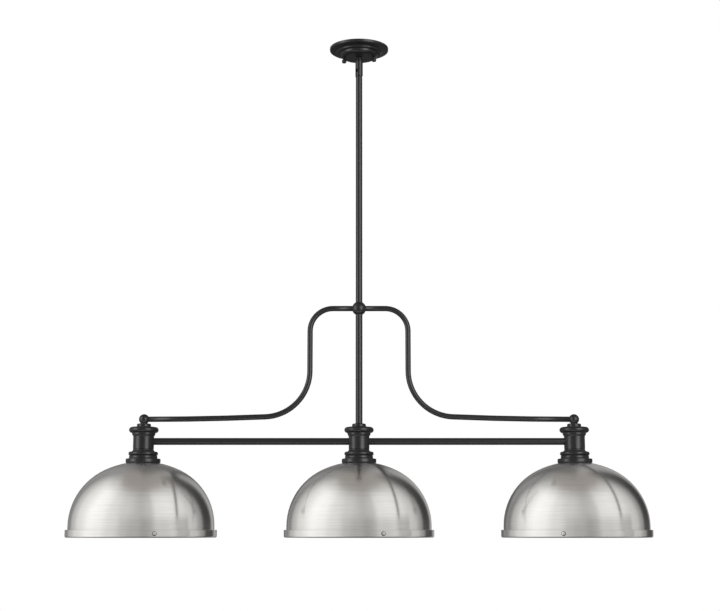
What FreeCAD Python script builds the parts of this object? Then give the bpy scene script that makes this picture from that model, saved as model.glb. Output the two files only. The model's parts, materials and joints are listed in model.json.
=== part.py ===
"""Linear island pendant: three dome shades under a pair of bars, hung from one rod.

A ceiling canopy covers two crossbars and a threaded nipple.  A collar on the nipple ends in
a fork, and the rod hangs from the fork by a flat tongue on a pin, so the lamp hangs straight
under a sloping ceiling.  The rod runs down to a ball, a second rod runs from the ball to the
middle column, and two bent arms run from the ball to a small ball on top of each end column.
Two bars tie the three columns together.  Each column carries a spun dome shade with a rim
band, a lamp socket and a bulb.

Millimetres.  The origin is on the ceiling, on the rod's axis: +Z up, +X along the bars, and
-Y towards the front.  Each sub-part is drawn in its own frame, from its lowest level up, and
is put in place by its Placement.
"""
import FreeCAD, Part
import math
import os

import Sketcher
from FreeCAD import Placement, Rotation, Vector

doc = FreeCAD.newDocument("linear_island_pendant")
sheet = doc.addObject("Spreadsheet::Sheet", "sizes")
nodes = []


# --------------------------------------------------------------------------------------
# Sizes: each is a cell of the sheet, and sums of sizes stay tied to those cells
# --------------------------------------------------------------------------------------
class Size:
    """A length that is known both as a number and as the expression it comes from."""

    def __init__(self, value, text=None):
        self.value = float(value)
        self.text = text if text else repr(float(value))

    def join(self, other, sign, value):
        return Size(value, "(%s %s %s)" % (self.text, sign, other.text))

    def __add__(self, other):
        other = as_size(other)
        return self.join(other, "+", self.value + other.value)

    def __sub__(self, other):
        other = as_size(other)
        return self.join(other, "-", self.value - other.value)

    def __mul__(self, other):
        other = as_size(other)
        return self.join(other, "*", self.value * other.value)

    def __truediv__(self, other):
        other = as_size(other)
        return self.join(other, "/", self.value / other.value)

    def __neg__(self):
        return Size(0.0) - self

    def root(self):
        return Size(math.sqrt(self.value), "sqrt(%s)" % self.text)


def as_size(number):
    return number if isinstance(number, Size) else Size(number)


def cell(name, number):
    """Put one driving dimension in the sheet, with its name as the alias."""
    cell.row += 1
    address = "A%d" % cell.row
    sheet.set(address, repr(number))
    sheet.setAlias(address, name)
    return Size(number, "sizes." + name)


cell.row = 0

# overall layout
hub_drop = cell("hub_drop", 655.6)              # ceiling to the centre of the middle ball
arm_fall = cell("arm_fall", 267.5)              # middle ball down to the end balls
lamp_spacing = cell("lamp_spacing", 512.5)      # column to column
fit_gap = cell("fit_gap", 0.05)                 # radial room where a round piece is pushed in
side_gap = cell("side_gap", 0.3)                # room beside a face that moves or is loose
cement_gap = cell("cement_gap", 0.1)            # radial room for the cement round the bulb's neck

# ceiling end
canopy_radius = cell("canopy_radius", 72.5)
canopy_depth = cell("canopy_depth", 24.6)
canopy_wall = cell("canopy_wall", 1.5)
canopy_foot_radius = cell("canopy_foot_radius", 46.0)
canopy_foot_height = cell("canopy_foot_height", 10.0)
canopy_foot_lean = cell("canopy_foot_lean", 1.5)
canopy_shoulder_width = cell("canopy_shoulder_width", 10.0)
canopy_shoulder_height = cell("canopy_shoulder_height", 5.5)
canopy_shoulder_round = cell("canopy_shoulder_round", 11.9)
canopy_bead_width = cell("canopy_bead_width", 8.0)
canopy_bead_height = cell("canopy_bead_height", 5.0)
canopy_bead_lean = cell("canopy_bead_lean", 1.1)
canopy_bead_round = cell("canopy_bead_round", 3.0)
canopy_rim_height = cell("canopy_rim_height", 7.3)
canopy_rim_round = cell("canopy_rim_round", 2.2)
canopy_collar_room = cell("canopy_collar_room", 0.5)
crossbar_thickness = cell("crossbar_thickness", 2.0)
crossbar_width = cell("crossbar_width", 20.0)
crossbar_length = cell("crossbar_length", 104.0)
box_screw_spacing = cell("box_screw_spacing", 79.4)
box_slot_length = cell("box_slot_length", 14.3)
box_slot_width = cell("box_slot_width", 4.8)
knob_spacing = cell("knob_spacing", 75.0)
knob_radius = cell("knob_radius", 5.5)
knob_height = cell("knob_height", 11.0)
knob_round = cell("knob_round", 2.2)
knob_neck_height = cell("knob_neck_height", 3.0)
knob_shoulder_round = cell("knob_shoulder_round", 1.6)
canopy_screw_end_room = cell("canopy_screw_end_room", 2.5)
canopy_screw_radius = cell("canopy_screw_radius", 2.0)
canopy_screw_hole_room = cell("canopy_screw_hole_room", 0.4)
nipple_radius = cell("nipple_radius", 5.0)
nipple_bore = cell("nipple_bore", 3.6)
nipple_rise = cell("nipple_rise", 6.0)
nipple_in_collar = cell("nipple_in_collar", 18.0)
lock_nut_radius = cell("lock_nut_radius", 8.25)
lock_nut_height = cell("lock_nut_height", 4.0)
ground_screw_place = cell("ground_screw_place", 21.0)
ground_screw_reach = cell("ground_screw_reach", 1.5)
lead_radius = cell("lead_radius", 1.2)
lead_offset = cell("lead_offset", 1.9)
lead_bend = cell("lead_bend", 11.0)
lead_rise = cell("lead_rise", 1.0)
lead_depth = cell("lead_depth", 10.0)
lead_grip = cell("lead_grip", 4.5)
connector_radius = cell("connector_radius", 5.5)
connector_height = cell("connector_height", 15.0)
connector_bore_depth = cell("connector_bore_depth", 5.0)
connector_taper = cell("connector_taper", 1.0)
connector_room = cell("connector_room", 2.0)

# swivel
collar_radius = cell("collar_radius", 9.2)
collar_top_drop = cell("collar_top_drop", 14.6)
pivot_drop = cell("pivot_drop", 64.6)
pin_radius = cell("pin_radius", 2.5)
tongue_thickness = cell("tongue_thickness", 6.0)
shoulder_height = cell("shoulder_height", 6.0)
spigot_length = cell("spigot_length", 12.0)
shoulder_room = cell("shoulder_room", 0.5)

# rods, bars and arms
rod_radius = cell("rod_radius", 8.0)
rod_wall = cell("rod_wall", 2.0)
stem_radius = cell("stem_radius", 8.25)
bar_radius = cell("bar_radius", 8.25)
bar_wall = cell("bar_wall", 2.0)
hub_radius = cell("hub_radius", 17.0)
hub_socket_level = cell("hub_socket_level", 6.0)
hub_passage = cell("hub_passage", 4.0)
arm_radius = cell("arm_radius", 6.5)
arm_wall = cell("arm_wall", 1.5)
arm_socket_place = cell("arm_socket_place", 9.0)
arm_leg_place = cell("arm_leg_place", 117.8)
arm_top_bend = cell("arm_top_bend", 55.0)
arm_low_bend = cell("arm_low_bend", 110.0)
arm_droop = cell("arm_droop", 0.042)
end_ball_radius = cell("end_ball_radius", 12.25)
end_ball_height = cell("end_ball_height", 10.5)
end_ball_neck = cell("end_ball_neck", 8.3)
stud_radius = cell("stud_radius", 4.0)
stud_reach = cell("stud_reach", 10.0)           # stud and stem below the flange, for their nuts
bar_reach = cell("bar_reach", 2.0)              # bar inside the column's hollow

# columns
disc_radius = cell("disc_radius", 16.6)
disc_height = cell("disc_height", 7.0)
disc_round = cell("disc_round", 3.2)
flange_radius = cell("flange_radius", 34.9)
flange_roll = cell("flange_roll", 6.8)
flange_ring_radius = cell("flange_ring_radius", 27.7)
flange_ring_height = cell("flange_ring_height", 5.6)
flange_ring_round = cell("flange_ring_round", 0.6)
flange_crown = cell("flange_crown", 1.2)
flange_spigot = cell("flange_spigot", 3.0)
column_radius = cell("column_radius", 24.6)
column_bore = cell("column_bore", 19.0)
column_height = cell("column_height", 48.8)
column_floor = cell("column_floor", 8.2)
bar_height = cell("bar_height", 34.0)
bead_radius = cell("bead_radius", 34.8)
bead_height = cell("bead_height", 9.6)
bead_swell = cell("bead_swell", 2.0)
cove_bend = cell("cove_bend", 5.6)
cove_height = cell("cove_height", 4.8)
groove_depth = cell("groove_depth", 0.8)
groove_height = cell("groove_height", 1.6)
column_flare = cell("column_flare", 3.9)
column_flare_bend = cell("column_flare_bend", 7.0)
holder_radius = cell("holder_radius", 41.0)
holder_edge = cell("holder_edge", 10.2)
holder_waist = cell("holder_waist", 33.2)
holder_height = cell("holder_height", 17.3)
holder_wall = cell("holder_wall", 3.0)
holder_foot_round = cell("holder_foot_round", 2.4)
holder_edge_round = cell("holder_edge_round", 1.8)
holder_cove = cell("holder_cove", 2.8)

# shade
dome_radius = cell("dome_radius", 171.0)
dome_rise = cell("dome_rise", 151.4)
dome_oval = cell("dome_oval", 0.3)              # 0 is a ball's curve, 1 a flat top on a tight side
dome_flat = cell("dome_flat", 38.0)
dome_wall = cell("dome_wall", 1.0)
dome_skirt = cell("dome_skirt", 25.1)
band_step = cell("band_step", 6.0)
band_height = cell("band_height", 18.0)
band_wall = cell("band_wall", 1.5)
band_round = cell("band_round", 4.0)
band_lip = cell("band_lip", 12.0)
rim_screw_radius = cell("rim_screw_radius", 1.75)
rim_screw_head = cell("rim_screw_head", 5.2)
rim_screw_edge = cell("rim_screw_edge", 1.2)
rim_screw_crown = cell("rim_screw_crown", 2.0)
rim_screw_rise = cell("rim_screw_rise", 9.4)
rim_screw_reach = cell("rim_screw_reach", 5.0)
rim_nut_radius = cell("rim_nut_radius", 3.6)
rim_nut_height = cell("rim_nut_height", 3.0)

# lamp
socket_radius = cell("socket_radius", 19.0)
socket_height = cell("socket_height", 48.0)
socket_bore = cell("socket_bore", 14.2)
socket_depth = cell("socket_depth", 30.0)
socket_neck = cell("socket_neck", 5.0)          # how much slimmer the top of the socket is
socket_nipple_depth = cell("socket_nipple_depth", 8.0)
plate_radius = cell("plate_radius", 30.0)
plate_thickness = cell("plate_thickness", 2.0)
shell_radius = cell("shell_radius", 13.9)
shell_wall = cell("shell_wall", 0.5)
shell_set_back = cell("shell_set_back", 3.0)
shell_lead_room = cell("shell_lead_room", 2.0)
cap_radius = cell("cap_radius", 13.3)
cap_height = cell("cap_height", 25.0)
cap_crown = cell("cap_crown", 5.0)
glass_radius = cell("glass_radius", 30.0)
glass_neck = cell("glass_neck", 12.6)
glass_shoulder = cell("glass_shoulder", 40.0)
glass_wall = cell("glass_wall", 1.0)
glass_neck_drop = cell("glass_neck_drop", 7.0)  # top of the cap down to the end of the neck
lamp_lead_radius = cell("lamp_lead_radius", 2.0)
lamp_lead_depth = cell("lamp_lead_depth", 12.0)
lamp_lead_curve = cell("lamp_lead_curve", 9.0)
rod_lead_radius = cell("rod_lead_radius", 2.5)
lead_end_room = cell("lead_end_room", 2.0)

# angles about the upright axis, in degrees from +X, or from the front for the screws
pin_heading = cell("pin_heading", -45.0)
knob_heading = cell("knob_heading", -8.5)
rim_screw_heading = cell("rim_screw_heading", 18.1)

# levels, measured up from the ceiling, so all of them are below zero
ZERO = Size(0.0)
hub_level = -hub_drop
arm_end_level = hub_level - arm_fall
disc_top = arm_end_level - end_ball_height
flange_top = disc_top - disc_height
flange_height = flange_ring_height + flange_roll * 2 + flange_crown
column_top = flange_top - flange_height
column_bottom = column_top - column_height
bar_level = column_bottom + bar_height
holder_bottom = column_bottom - holder_height
rod_bore = rod_radius - rod_wall
bar_bore = bar_radius - bar_wall
bore_top = column_bottom + column_floor

# the dome is two arcs: a side arc that leaves the skirt upright, and a wider one over the top
dome_side_bend = dome_rise - (dome_radius - dome_rise) * dome_oval
side_centre = dome_radius - dome_side_bend
top_bend = ((side_centre * side_centre + dome_rise * dome_rise - dome_side_bend * dome_side_bend)
            / ((dome_rise - dome_side_bend) * 2))
top_centre = dome_rise - top_bend
flat_rise = top_centre + (top_bend * top_bend - dome_flat * dome_flat).root()
spring_level = holder_bottom - flat_rise
skirt_bottom = spring_level - dome_skirt
rim_level = skirt_bottom - band_wall
band_radius = dome_radius + band_step
rim_screw_level = rim_level + rim_screw_rise

SIDES = (("left", -1), ("centre", 0), ("right", 1))


# --------------------------------------------------------------------------------------
# Ways of making a sub-part
# --------------------------------------------------------------------------------------
def node(shape_object, name):
    """Name a finished sub-part, which is then written to a file of that name."""
    shape_object.Label = name
    nodes.append(shape_object)
    return shape_object


def place(thing, across=0.0, along=0.0, up=0.0, turn=None):
    """Put a thing at a place, tied to the sheet, after turning it by a Rotation."""
    if turn is not None:
        thing.Placement = Placement(Vector(0, 0, 0), turn)
    for axis, size in (("x", across), ("y", along), ("z", up)):
        thing.setExpression("Placement.Base." + axis, as_size(size).text)
    return thing


def heading(degrees):
    return Rotation(Vector(0, 0, 1), degrees)


def plane_of(body, role):
    return [feature for feature in body.Origin.OriginFeatures if feature.Role == role][0]


def new_sketch(body, role, name):
    drawing = body.newObject("Sketcher::SketchObject", name)
    drawing.AttachmentSupport = [(plane_of(body, role), "")]
    drawing.MapMode = "FlatFace"
    return drawing


def hold(drawing, kind, item, point, size):
    """Hold one point of a sketch at a distance from the sketch's own origin."""
    axis = -2 if kind == "DistanceX" else -1
    if size.text == repr(0.0):
        drawing.addConstraint(Sketcher.Constraint("PointOnObject", item, point, axis))
        return
    index = drawing.addConstraint(Sketcher.Constraint(kind, -1, 1, item, point, size.value))
    drawing.setExpression("Constraints[%d]" % index, size.text)


def arc_between(first, last, radius):
    """An arc of a given radius; a positive one bulges to the right of the way from first."""
    chord = last - first
    half = chord.Length / 2
    reach = math.sqrt(max(radius * radius - half * half, 0.0))
    side = Vector(chord.y, -chord.x, 0).normalize() * math.copysign(1.0, radius)
    middle = (first + last) / 2 + side * (abs(radius) - reach)
    return Part.Arc(first, middle, last)


def draw_outline(drawing, corners, closed=True):
    """Draw lines and arcs through corners: (across, up) or (across, up, radius to the next)."""
    points = [tuple(as_size(size) for size in corner) for corner in corners]
    flat = [Vector(point[0].value, point[1].value, 0) for point in points]
    count = len(points) if closed else len(points) - 1
    ends = []
    for number in range(count):
        following = (number + 1) % len(points)
        bend = points[number][2] if len(points[number]) > 2 else None
        if bend is None:
            edge = Part.LineSegment(flat[number], flat[following])
        else:
            edge = arc_between(flat[number], flat[following], bend.value)
        item = drawing.addGeometry(edge)
        starts = (drawing.getPoint(item, 1) - flat[number]).Length < 1e-6
        ends.append((item, 1, 2) if starts else (item, 2, 1))
    for number in range(count - 1 if not closed else count):
        item, _, last = ends[number]
        following, first, _ = ends[(number + 1) % count]
        drawing.addConstraint(Sketcher.Constraint("Coincident", item, last, following, first))
    for number in range(len(points)):
        item, first, last = ends[min(number, count - 1)]
        end = first if number < count else last
        hold(drawing, "DistanceX", item, end, points[number][0])
        hold(drawing, "DistanceY", item, end, points[number][1])
    for number in range(count):
        if len(points[number]) > 2:
            bend = points[number][2]
            item = ends[number][0]
            index = drawing.addConstraint(Sketcher.Constraint("Radius", item, abs(bend.value)))
            text = bend.text if bend.value > 0 else "-1 * " + bend.text
            drawing.setExpression("Constraints[%d]" % index, text)


def draw_circle(drawing, across, up, radius):
    across, up, radius = as_size(across), as_size(up), as_size(radius)
    centre = Vector(across.value, up.value, 0)
    item = drawing.addGeometry(Part.Circle(centre, Vector(0, 0, 1), radius.value))
    hold(drawing, "DistanceX", item, 3, across)
    hold(drawing, "DistanceY", item, 3, up)
    index = drawing.addConstraint(Sketcher.Constraint("Radius", item, radius.value))
    drawing.setExpression("Constraints[%d]" % index, radius.text)


def turned(name, corners):
    """A body turned about its own upright axis from half an outline."""
    body = doc.addObject("PartDesign::Body", name)
    drawing = new_sketch(body, "XZ_Plane", name + "_outline")
    draw_outline(drawing, corners)
    turning = body.newObject("PartDesign::Revolution", name + "_turning")
    turning.Profile = drawing
    turning.ReferenceAxis = (drawing, ["V_Axis"])
    turning.Angle = 360
    return body


def drilled(body, name, role, up, radius, both_ways=False):
    """Drill a round hole through the wall on a body's +X or -Y side, or through both sides."""
    drawing = new_sketch(body, role, name)
    draw_circle(drawing, ZERO, up, radius)
    pocket = body.newObject("PartDesign::Pocket", name + "_cut")
    pocket.Profile = drawing
    pocket.Type = "ThroughAll"
    if both_ways:
        pocket.SideType = "Symmetric"
    else:
        pocket.Reversed = True
    return pocket


def around(body, feature, count, name):
    """Repeat a feature round the body's upright axis."""
    pattern = body.newObject("PartDesign::PolarPattern", name)
    pattern.Originals = [feature]
    pattern.Axis = (plane_of(body, "Z_Axis"), [""])
    pattern.Angle = 360
    pattern.Occurrences = count
    body.Tip = pattern
    return pattern


def rod_solid(name, radius, height):
    cylinder = doc.addObject("Part::Cylinder", name)
    cylinder.setExpression("Radius", as_size(radius).text)
    cylinder.setExpression("Height", as_size(height).text)
    return cylinder


def block(name, length, width, height):
    """A box centred on its own upright axis, standing on its own zero level."""
    box = doc.addObject("Part::Box", name)
    box.setExpression("Length", as_size(length).text)
    box.setExpression("Width", as_size(width).text)
    box.setExpression("Height", as_size(height).text)
    box.setExpression("Placement.Base.x", "-0.5 * " + as_size(length).text)
    box.setExpression("Placement.Base.y", "-0.5 * " + as_size(width).text)
    return box


def hexagon(name, radius, height):
    prism = doc.addObject("Part::Prism", name)
    prism.Polygon = 6
    prism.setExpression("Circumradius", as_size(radius).text)
    prism.setExpression("Height", as_size(height).text)
    return prism


def cut(name, base, tool):
    result = doc.addObject("Part::Cut", name)
    result.Base = base
    result.Tool = tool
    return result


def common(name, first, second):
    result = doc.addObject("Part::Common", name)
    result.Base = first
    result.Tool = second
    return result


def fused(name, pieces):
    result = doc.addObject("Part::MultiFuse", name)
    result.Shapes = pieces
    return result


def group(name, pieces):
    """Several like pieces that share one node, each still a solid of its own."""
    result = doc.addObject("Part::Compound", name)
    result.Links = pieces
    return result


def crown_bend(half_width, rise):
    """The radius of a round crown of a given rise over half its width."""
    return (half_width * half_width + rise * rise) / (rise * 2)


def tube(name, outer, inner, length):
    return turned(name, [(inner, ZERO), (outer, ZERO), (outer, length), (inner, length)])


def hex_nut(name, radius, hole, height):
    nut_hole = rod_solid(name + "_hole", hole, height)
    return cut(name, hexagon(name + "_blank", radius, height), nut_hole)


def wire(name, route, radius):
    """A round wire along upright and level runs joined by arcs, in the sketch's own plane."""
    body = doc.addObject("PartDesign::Body", name)
    path = new_sketch(body, "XZ_Plane", name + "_route")
    draw_outline(path, route, closed=False)
    section = new_sketch(body, "XY_Plane", name + "_section")
    section.setExpression("AttachmentOffset.Base.z", as_size(route[0][1]).text)
    draw_circle(section, route[0][0], ZERO, radius)
    sweep = body.newObject("PartDesign::AdditivePipe", name + "_sweep")
    sweep.Profile = section
    sweep.Spine = (path, ["Edge%d" % (number + 1) for number in range(len(route) - 1)])
    return body


# --------------------------------------------------------------------------------------
# Ceiling crossbars, canopy and its knobs
# --------------------------------------------------------------------------------------
def crossbar(name, length, width, holes, slots):
    """A flat steel strap with round holes and, for the box screws, two long slots."""
    blank = block(name + "_blank", length, width, crossbar_thickness)
    tools = []
    for number, (spot, radius) in enumerate(holes):
        hole = rod_solid("%s_hole_%d" % (name, number + 1), radius, crossbar_thickness)
        tools.append(place(hole, across=spot))
    for number, spot in enumerate(slots):
        label = "%s_slot_%d" % (name, number + 1)
        straight = box_slot_length - box_slot_width
        middle = block(label + "_middle", straight, box_slot_width, crossbar_thickness)
        middle.setExpression("Placement.Base.x", (as_size(spot) - straight / 2).text)
        tools.append(middle)
        for end in (-1, 1):
            hole = rod_solid("%s_end_%d" % (label, end + 2), box_slot_width / 2,
                             crossbar_thickness)
            tools.append(place(hole, across=as_size(spot) + straight * (end / 2)))
    return cut(name, blank, fused(name + "_openings", tools))


knob_place = knob_spacing / 2
slot_place = box_screw_spacing / 2
box_bar = crossbar("box_crossbar", crossbar_length, crossbar_width,
                   [(ZERO, nipple_radius + fit_gap)], [slot_place, -slot_place])
node(place(box_bar, up=-crossbar_thickness, turn=heading(90)), "box_crossbar")

canopy_bar = crossbar("canopy_crossbar", crossbar_length, crossbar_width,
                      [(ZERO, nipple_radius + fit_gap),
                       (knob_place, canopy_screw_radius + fit_gap),
                       (-knob_place, canopy_screw_radius + fit_gap),
                       (ground_screw_place, canopy_screw_radius + fit_gap)], [])
node(place(canopy_bar, up=-crossbar_thickness * 2, turn=heading(knob_heading.value)),
     "canopy_crossbar")

nipple_drop = collar_top_drop + nipple_in_collar
nipple = tube("mount_nipple", nipple_radius, nipple_bore, nipple_rise + nipple_drop)
node(place(nipple, up=-nipple_drop), "mount_nipple")

nut_levels = (("upper", ZERO), ("lower", -(crossbar_thickness * 2) - lock_nut_height))
lock_nuts = [place(hex_nut("lock_nut_" + label, lock_nut_radius, nipple_radius + fit_gap,
                           lock_nut_height), up=level) for label, level in nut_levels]
node(group("nipple_nuts", lock_nuts), "nipple_nuts")


def machine_screw(name, length, head_radius, head_height):
    """A round-headed screw, tip down, drawn from the tip up to the top of its head."""
    return turned(name, [(ZERO, ZERO), (canopy_screw_radius, ZERO), (canopy_screw_radius, length),
                         (head_radius, length), (head_radius, length + head_height / 2),
                         (head_radius - head_height / 2, length + head_height),
                         (ZERO, length + head_height)])


def at_heading(distance, degrees):
    """The across and along places of a point at a distance from the axis, at a heading."""
    angle = math.radians(degrees)
    return distance * math.cos(angle), distance * math.sin(angle)


canopy_screw_tip = canopy_depth + knob_height - canopy_screw_end_room
canopy_screw_length = canopy_screw_tip - crossbar_thickness
canopy_screws = []
knobs = []
for label, side in (("left", -1), ("right", 1)):
    across, along = at_heading(knob_place * side, knob_heading.value)
    screw = machine_screw("canopy_screw_" + label, canopy_screw_length, 3.8, 1.6)
    canopy_screws.append(place(screw, across, along, -canopy_screw_tip))
    knob_neck = knob_radius - knob_round
    neck_start = knob_height - knob_neck_height
    knob_bore = canopy_screw_radius + fit_gap
    knob = turned("canopy_knob_" + label, [
        (ZERO, ZERO), (knob_neck, ZERO, knob_round), (knob_radius, knob_round),
        (knob_radius, neck_start - knob_shoulder_round, knob_shoulder_round),
        (knob_radius - knob_shoulder_round, neck_start),
        (knob_neck, neck_start), (knob_neck, knob_height), (knob_bore, knob_height),
        (knob_bore, canopy_screw_end_room - side_gap), (ZERO, canopy_screw_end_room - side_gap)])
    knobs.append(place(knob, across, along, -canopy_depth - knob_height))
node(group("canopy_screws", canopy_screws), "canopy_screws")
node(group("canopy_knobs", knobs), "canopy_knobs")

ground_across, ground_along = at_heading(ground_screw_place, knob_heading.value)
ground_length = crossbar_thickness + ground_screw_reach
ground_screw = machine_screw("ground_screw", ground_length, 4.2, 2.4)
ground_turn = Rotation(Vector(1, 0, 0), 180)
node(place(ground_screw, ground_across, ground_along,
           -(crossbar_thickness * 2) + ground_length, ground_turn), "ground_screw")

# the canopy: a deep rolled rim, a flange, a bead, a foot wall and a soft shoulder, of one sheet
collar_hole = collar_radius + canopy_collar_room
flat_radius = canopy_foot_radius - canopy_shoulder_width
wall_top = canopy_foot_radius + canopy_foot_lean
bead_outside = wall_top + canopy_bead_width
bead_start = bead_outside - canopy_bead_round
groove_radius = bead_outside + canopy_bead_lean
groove_level = canopy_foot_height + canopy_bead_height
rim_inside = canopy_radius - canopy_wall * 2
rim_start = canopy_depth - canopy_rim_height
canopy_body = turned("canopy", [
    (collar_hole, ZERO),
    (flat_radius, ZERO, canopy_shoulder_round),
    (canopy_foot_radius, canopy_shoulder_height),
    (wall_top, canopy_foot_height),
    (bead_start, canopy_foot_height, canopy_bead_round),
    (bead_outside, canopy_foot_height + canopy_bead_round),
    (groove_radius, groove_level),
    (canopy_radius - canopy_rim_round, rim_start, canopy_rim_round),
    (canopy_radius, rim_start + canopy_rim_round),
    (canopy_radius, canopy_depth),
    (rim_inside, canopy_depth),
    (rim_inside, rim_start + canopy_wall * 0.9),
    (groove_radius - canopy_wall, groove_level + canopy_wall * 0.9),
    (bead_outside - canopy_wall, canopy_foot_height + canopy_bead_round,
     -(canopy_bead_round - canopy_wall)),
    (bead_start, canopy_foot_height + canopy_wall),
    (wall_top - canopy_wall, canopy_foot_height + canopy_wall),
    (canopy_foot_radius - canopy_wall * 0.85, canopy_shoulder_height + canopy_wall * 0.53,
     -(canopy_shoulder_round - canopy_wall)),
    (flat_radius, canopy_wall),
    (collar_hole, canopy_wall)])
knob_holes = new_sketch(canopy_body, "XY_Plane", "canopy_knob_holes")
for side in (-1, 1):
    draw_circle(knob_holes, knob_place * side, ZERO, canopy_screw_radius + canopy_screw_hole_room)
hole_cut = canopy_body.newObject("PartDesign::Pocket", "canopy_knob_holes_cut")
hole_cut.Profile = knob_holes
hole_cut.Reversed = True
hole_cut.setExpression("Length", (canopy_wall * 2).text)
node(place(canopy_body, up=-canopy_depth, turn=heading(knob_heading.value)), "canopy")

# three short leads come up out of the nipple, turn over and go down into their connectors
LEAD_HEADINGS = (45.0, 135.0, 225.0)
lead_low = -(collar_top_drop + lead_depth)
lead_high = nipple_rise + lead_rise
connector_place = lead_offset + lead_bend * 2
connector_top = -(crossbar_thickness * 2) - connector_room
leads = []
connectors = []
for number, degrees in enumerate(LEAD_HEADINGS):
    label = str(number + 1)
    lead = wire("supply_lead_" + label, [
        (lead_offset, ZERO),
        (lead_offset, lead_high - lead_low, -lead_bend),
        (lead_offset + lead_bend, lead_high - lead_low + lead_bend, -lead_bend),
        (connector_place, lead_high - lead_low),
        (connector_place, connector_top - lead_low - lead_grip)], lead_radius)
    leads.append(place(lead, up=lead_low, turn=heading(degrees)))
    tip_radius = connector_radius - connector_taper
    bore_floor = connector_height - connector_bore_depth
    connector = turned("wire_connector_" + label, [
        (ZERO, ZERO), (tip_radius - connector_taper, ZERO, connector_taper),
        (tip_radius, connector_taper),
        (connector_radius, bore_floor + connector_taper), (connector_radius, connector_height),
        (lead_radius + fit_gap, connector_height), (lead_radius + fit_gap, bore_floor),
        (ZERO, bore_floor)])
    across, along = at_heading(connector_place, degrees)
    connectors.append(place(connector, across, along, connector_top - connector_height))
node(group("supply_leads", leads), "supply_leads")
node(group("wire_connectors", connectors), "wire_connectors")


# --------------------------------------------------------------------------------------
# Swivel: a forked collar, a flat tongue and the pin through both
# --------------------------------------------------------------------------------------
pin_turn = heading(pin_heading.value)
pivot_level = -pivot_drop
cheek_level = pivot_level - collar_radius
lying = Rotation(Vector(0, 1, 0), 90)
leg_height = pivot_drop - collar_top_drop
slot_room = tongue_thickness + side_gap * 2
slot_rise = collar_radius + side_gap * 2

# the fork's frame has its zero at the pivot, with the pin along X
collar_blank = place(rod_solid("fork_blank", collar_radius, leg_height + collar_radius),
                     up=-collar_radius)
cheek_roll = place(rod_solid("fork_roll", collar_radius, collar_radius * 2), turn=lying,
                   across=-collar_radius)
cheek_upper = block("fork_upper", collar_radius * 2, collar_radius * 2, leg_height)
fork_form = common("fork_form", collar_blank, fused("fork_envelope", [cheek_roll, cheek_upper]))
fork_slot = block("fork_slot", slot_room, collar_radius * 4, slot_rise + collar_radius)
fork_slot.setExpression("Placement.Base.z", (-collar_radius).text)
fork_bore_depth = nipple_in_collar + side_gap
fork_bore = place(rod_solid("fork_bore", nipple_radius + fit_gap, fork_bore_depth),
                  up=leg_height - fork_bore_depth)
lead_way = place(rod_solid("fork_lead_way", nipple_bore, leg_height), up=slot_rise)
pin_hole = place(rod_solid("fork_pin_hole", pin_radius + fit_gap, collar_radius * 2), turn=lying,
                 across=-collar_radius)
fork = cut("swivel_fork", fork_form,
           fused("fork_openings", [fork_slot, fork_bore, lead_way, pin_hole]))
node(place(fork, up=pivot_level, turn=pin_turn), "swivel_fork")

pin_length = (collar_radius * collar_radius - pin_radius * pin_radius).root() * 2
pin = rod_solid("swivel_pin", pin_radius, pin_length)
pin_across, pin_along = at_heading(-pin_length / 2, pin_heading.value)
node(place(pin, pin_across, pin_along, pivot_level, pin_turn * lying), "swivel_pin")

shoulder_drop = collar_radius + shoulder_room
tongue_blade = common("tongue_blade", block("tongue_plate", tongue_thickness, rod_radius * 2,
                                            shoulder_drop + rod_radius),
                      rod_solid("tongue_round", rod_radius, shoulder_drop + rod_radius))
tongue_roll = place(rod_solid("tongue_roll", rod_radius, tongue_thickness), turn=lying,
                    across=-tongue_thickness / 2, up=shoulder_drop)
tongue_square = block("tongue_square", tongue_thickness, rod_radius * 2, shoulder_drop)
tongue_end = common("tongue_end", tongue_blade,
                    fused("tongue_envelope", [tongue_roll, tongue_square]))
shoulder = place(rod_solid("tongue_shoulder", rod_radius, shoulder_height), up=-shoulder_height)
spigot = place(rod_solid("tongue_spigot", rod_bore - fit_gap, spigot_length),
               up=-shoulder_height - spigot_length)
tongue_hole = place(rod_solid("tongue_pin_hole", pin_radius + fit_gap, tongue_thickness * 2),
                    turn=lying, across=-tongue_thickness, up=shoulder_drop)
tongue = cut("swivel_tongue", fused("tongue_form", [tongue_end, shoulder, spigot]), tongue_hole)
rod_top = pivot_level - shoulder_drop - shoulder_height
node(place(tongue, up=pivot_level - shoulder_drop, turn=pin_turn), "swivel_tongue")


# --------------------------------------------------------------------------------------
# Rods, balls, arms and bars
# --------------------------------------------------------------------------------------
rod_bottom = hub_level + hub_socket_level
downrod = tube("downrod", rod_radius, rod_bore, rod_top - rod_bottom)
node(place(downrod, up=rod_bottom), "downrod")

stem_bottom = column_top - stud_reach
stem_top = hub_level - hub_socket_level
stem_bore = stem_radius - rod_wall
lower_stem = tube("lower_stem", stem_radius, stem_bore, stem_top - stem_bottom)
node(place(lower_stem, up=stem_bottom), "lower_stem")


def ball_edge(ball_radius, hole):
    """How far above its centre a ball's face is at the edge of an upright hole."""
    return (ball_radius * ball_radius - hole * hole).root()


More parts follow.
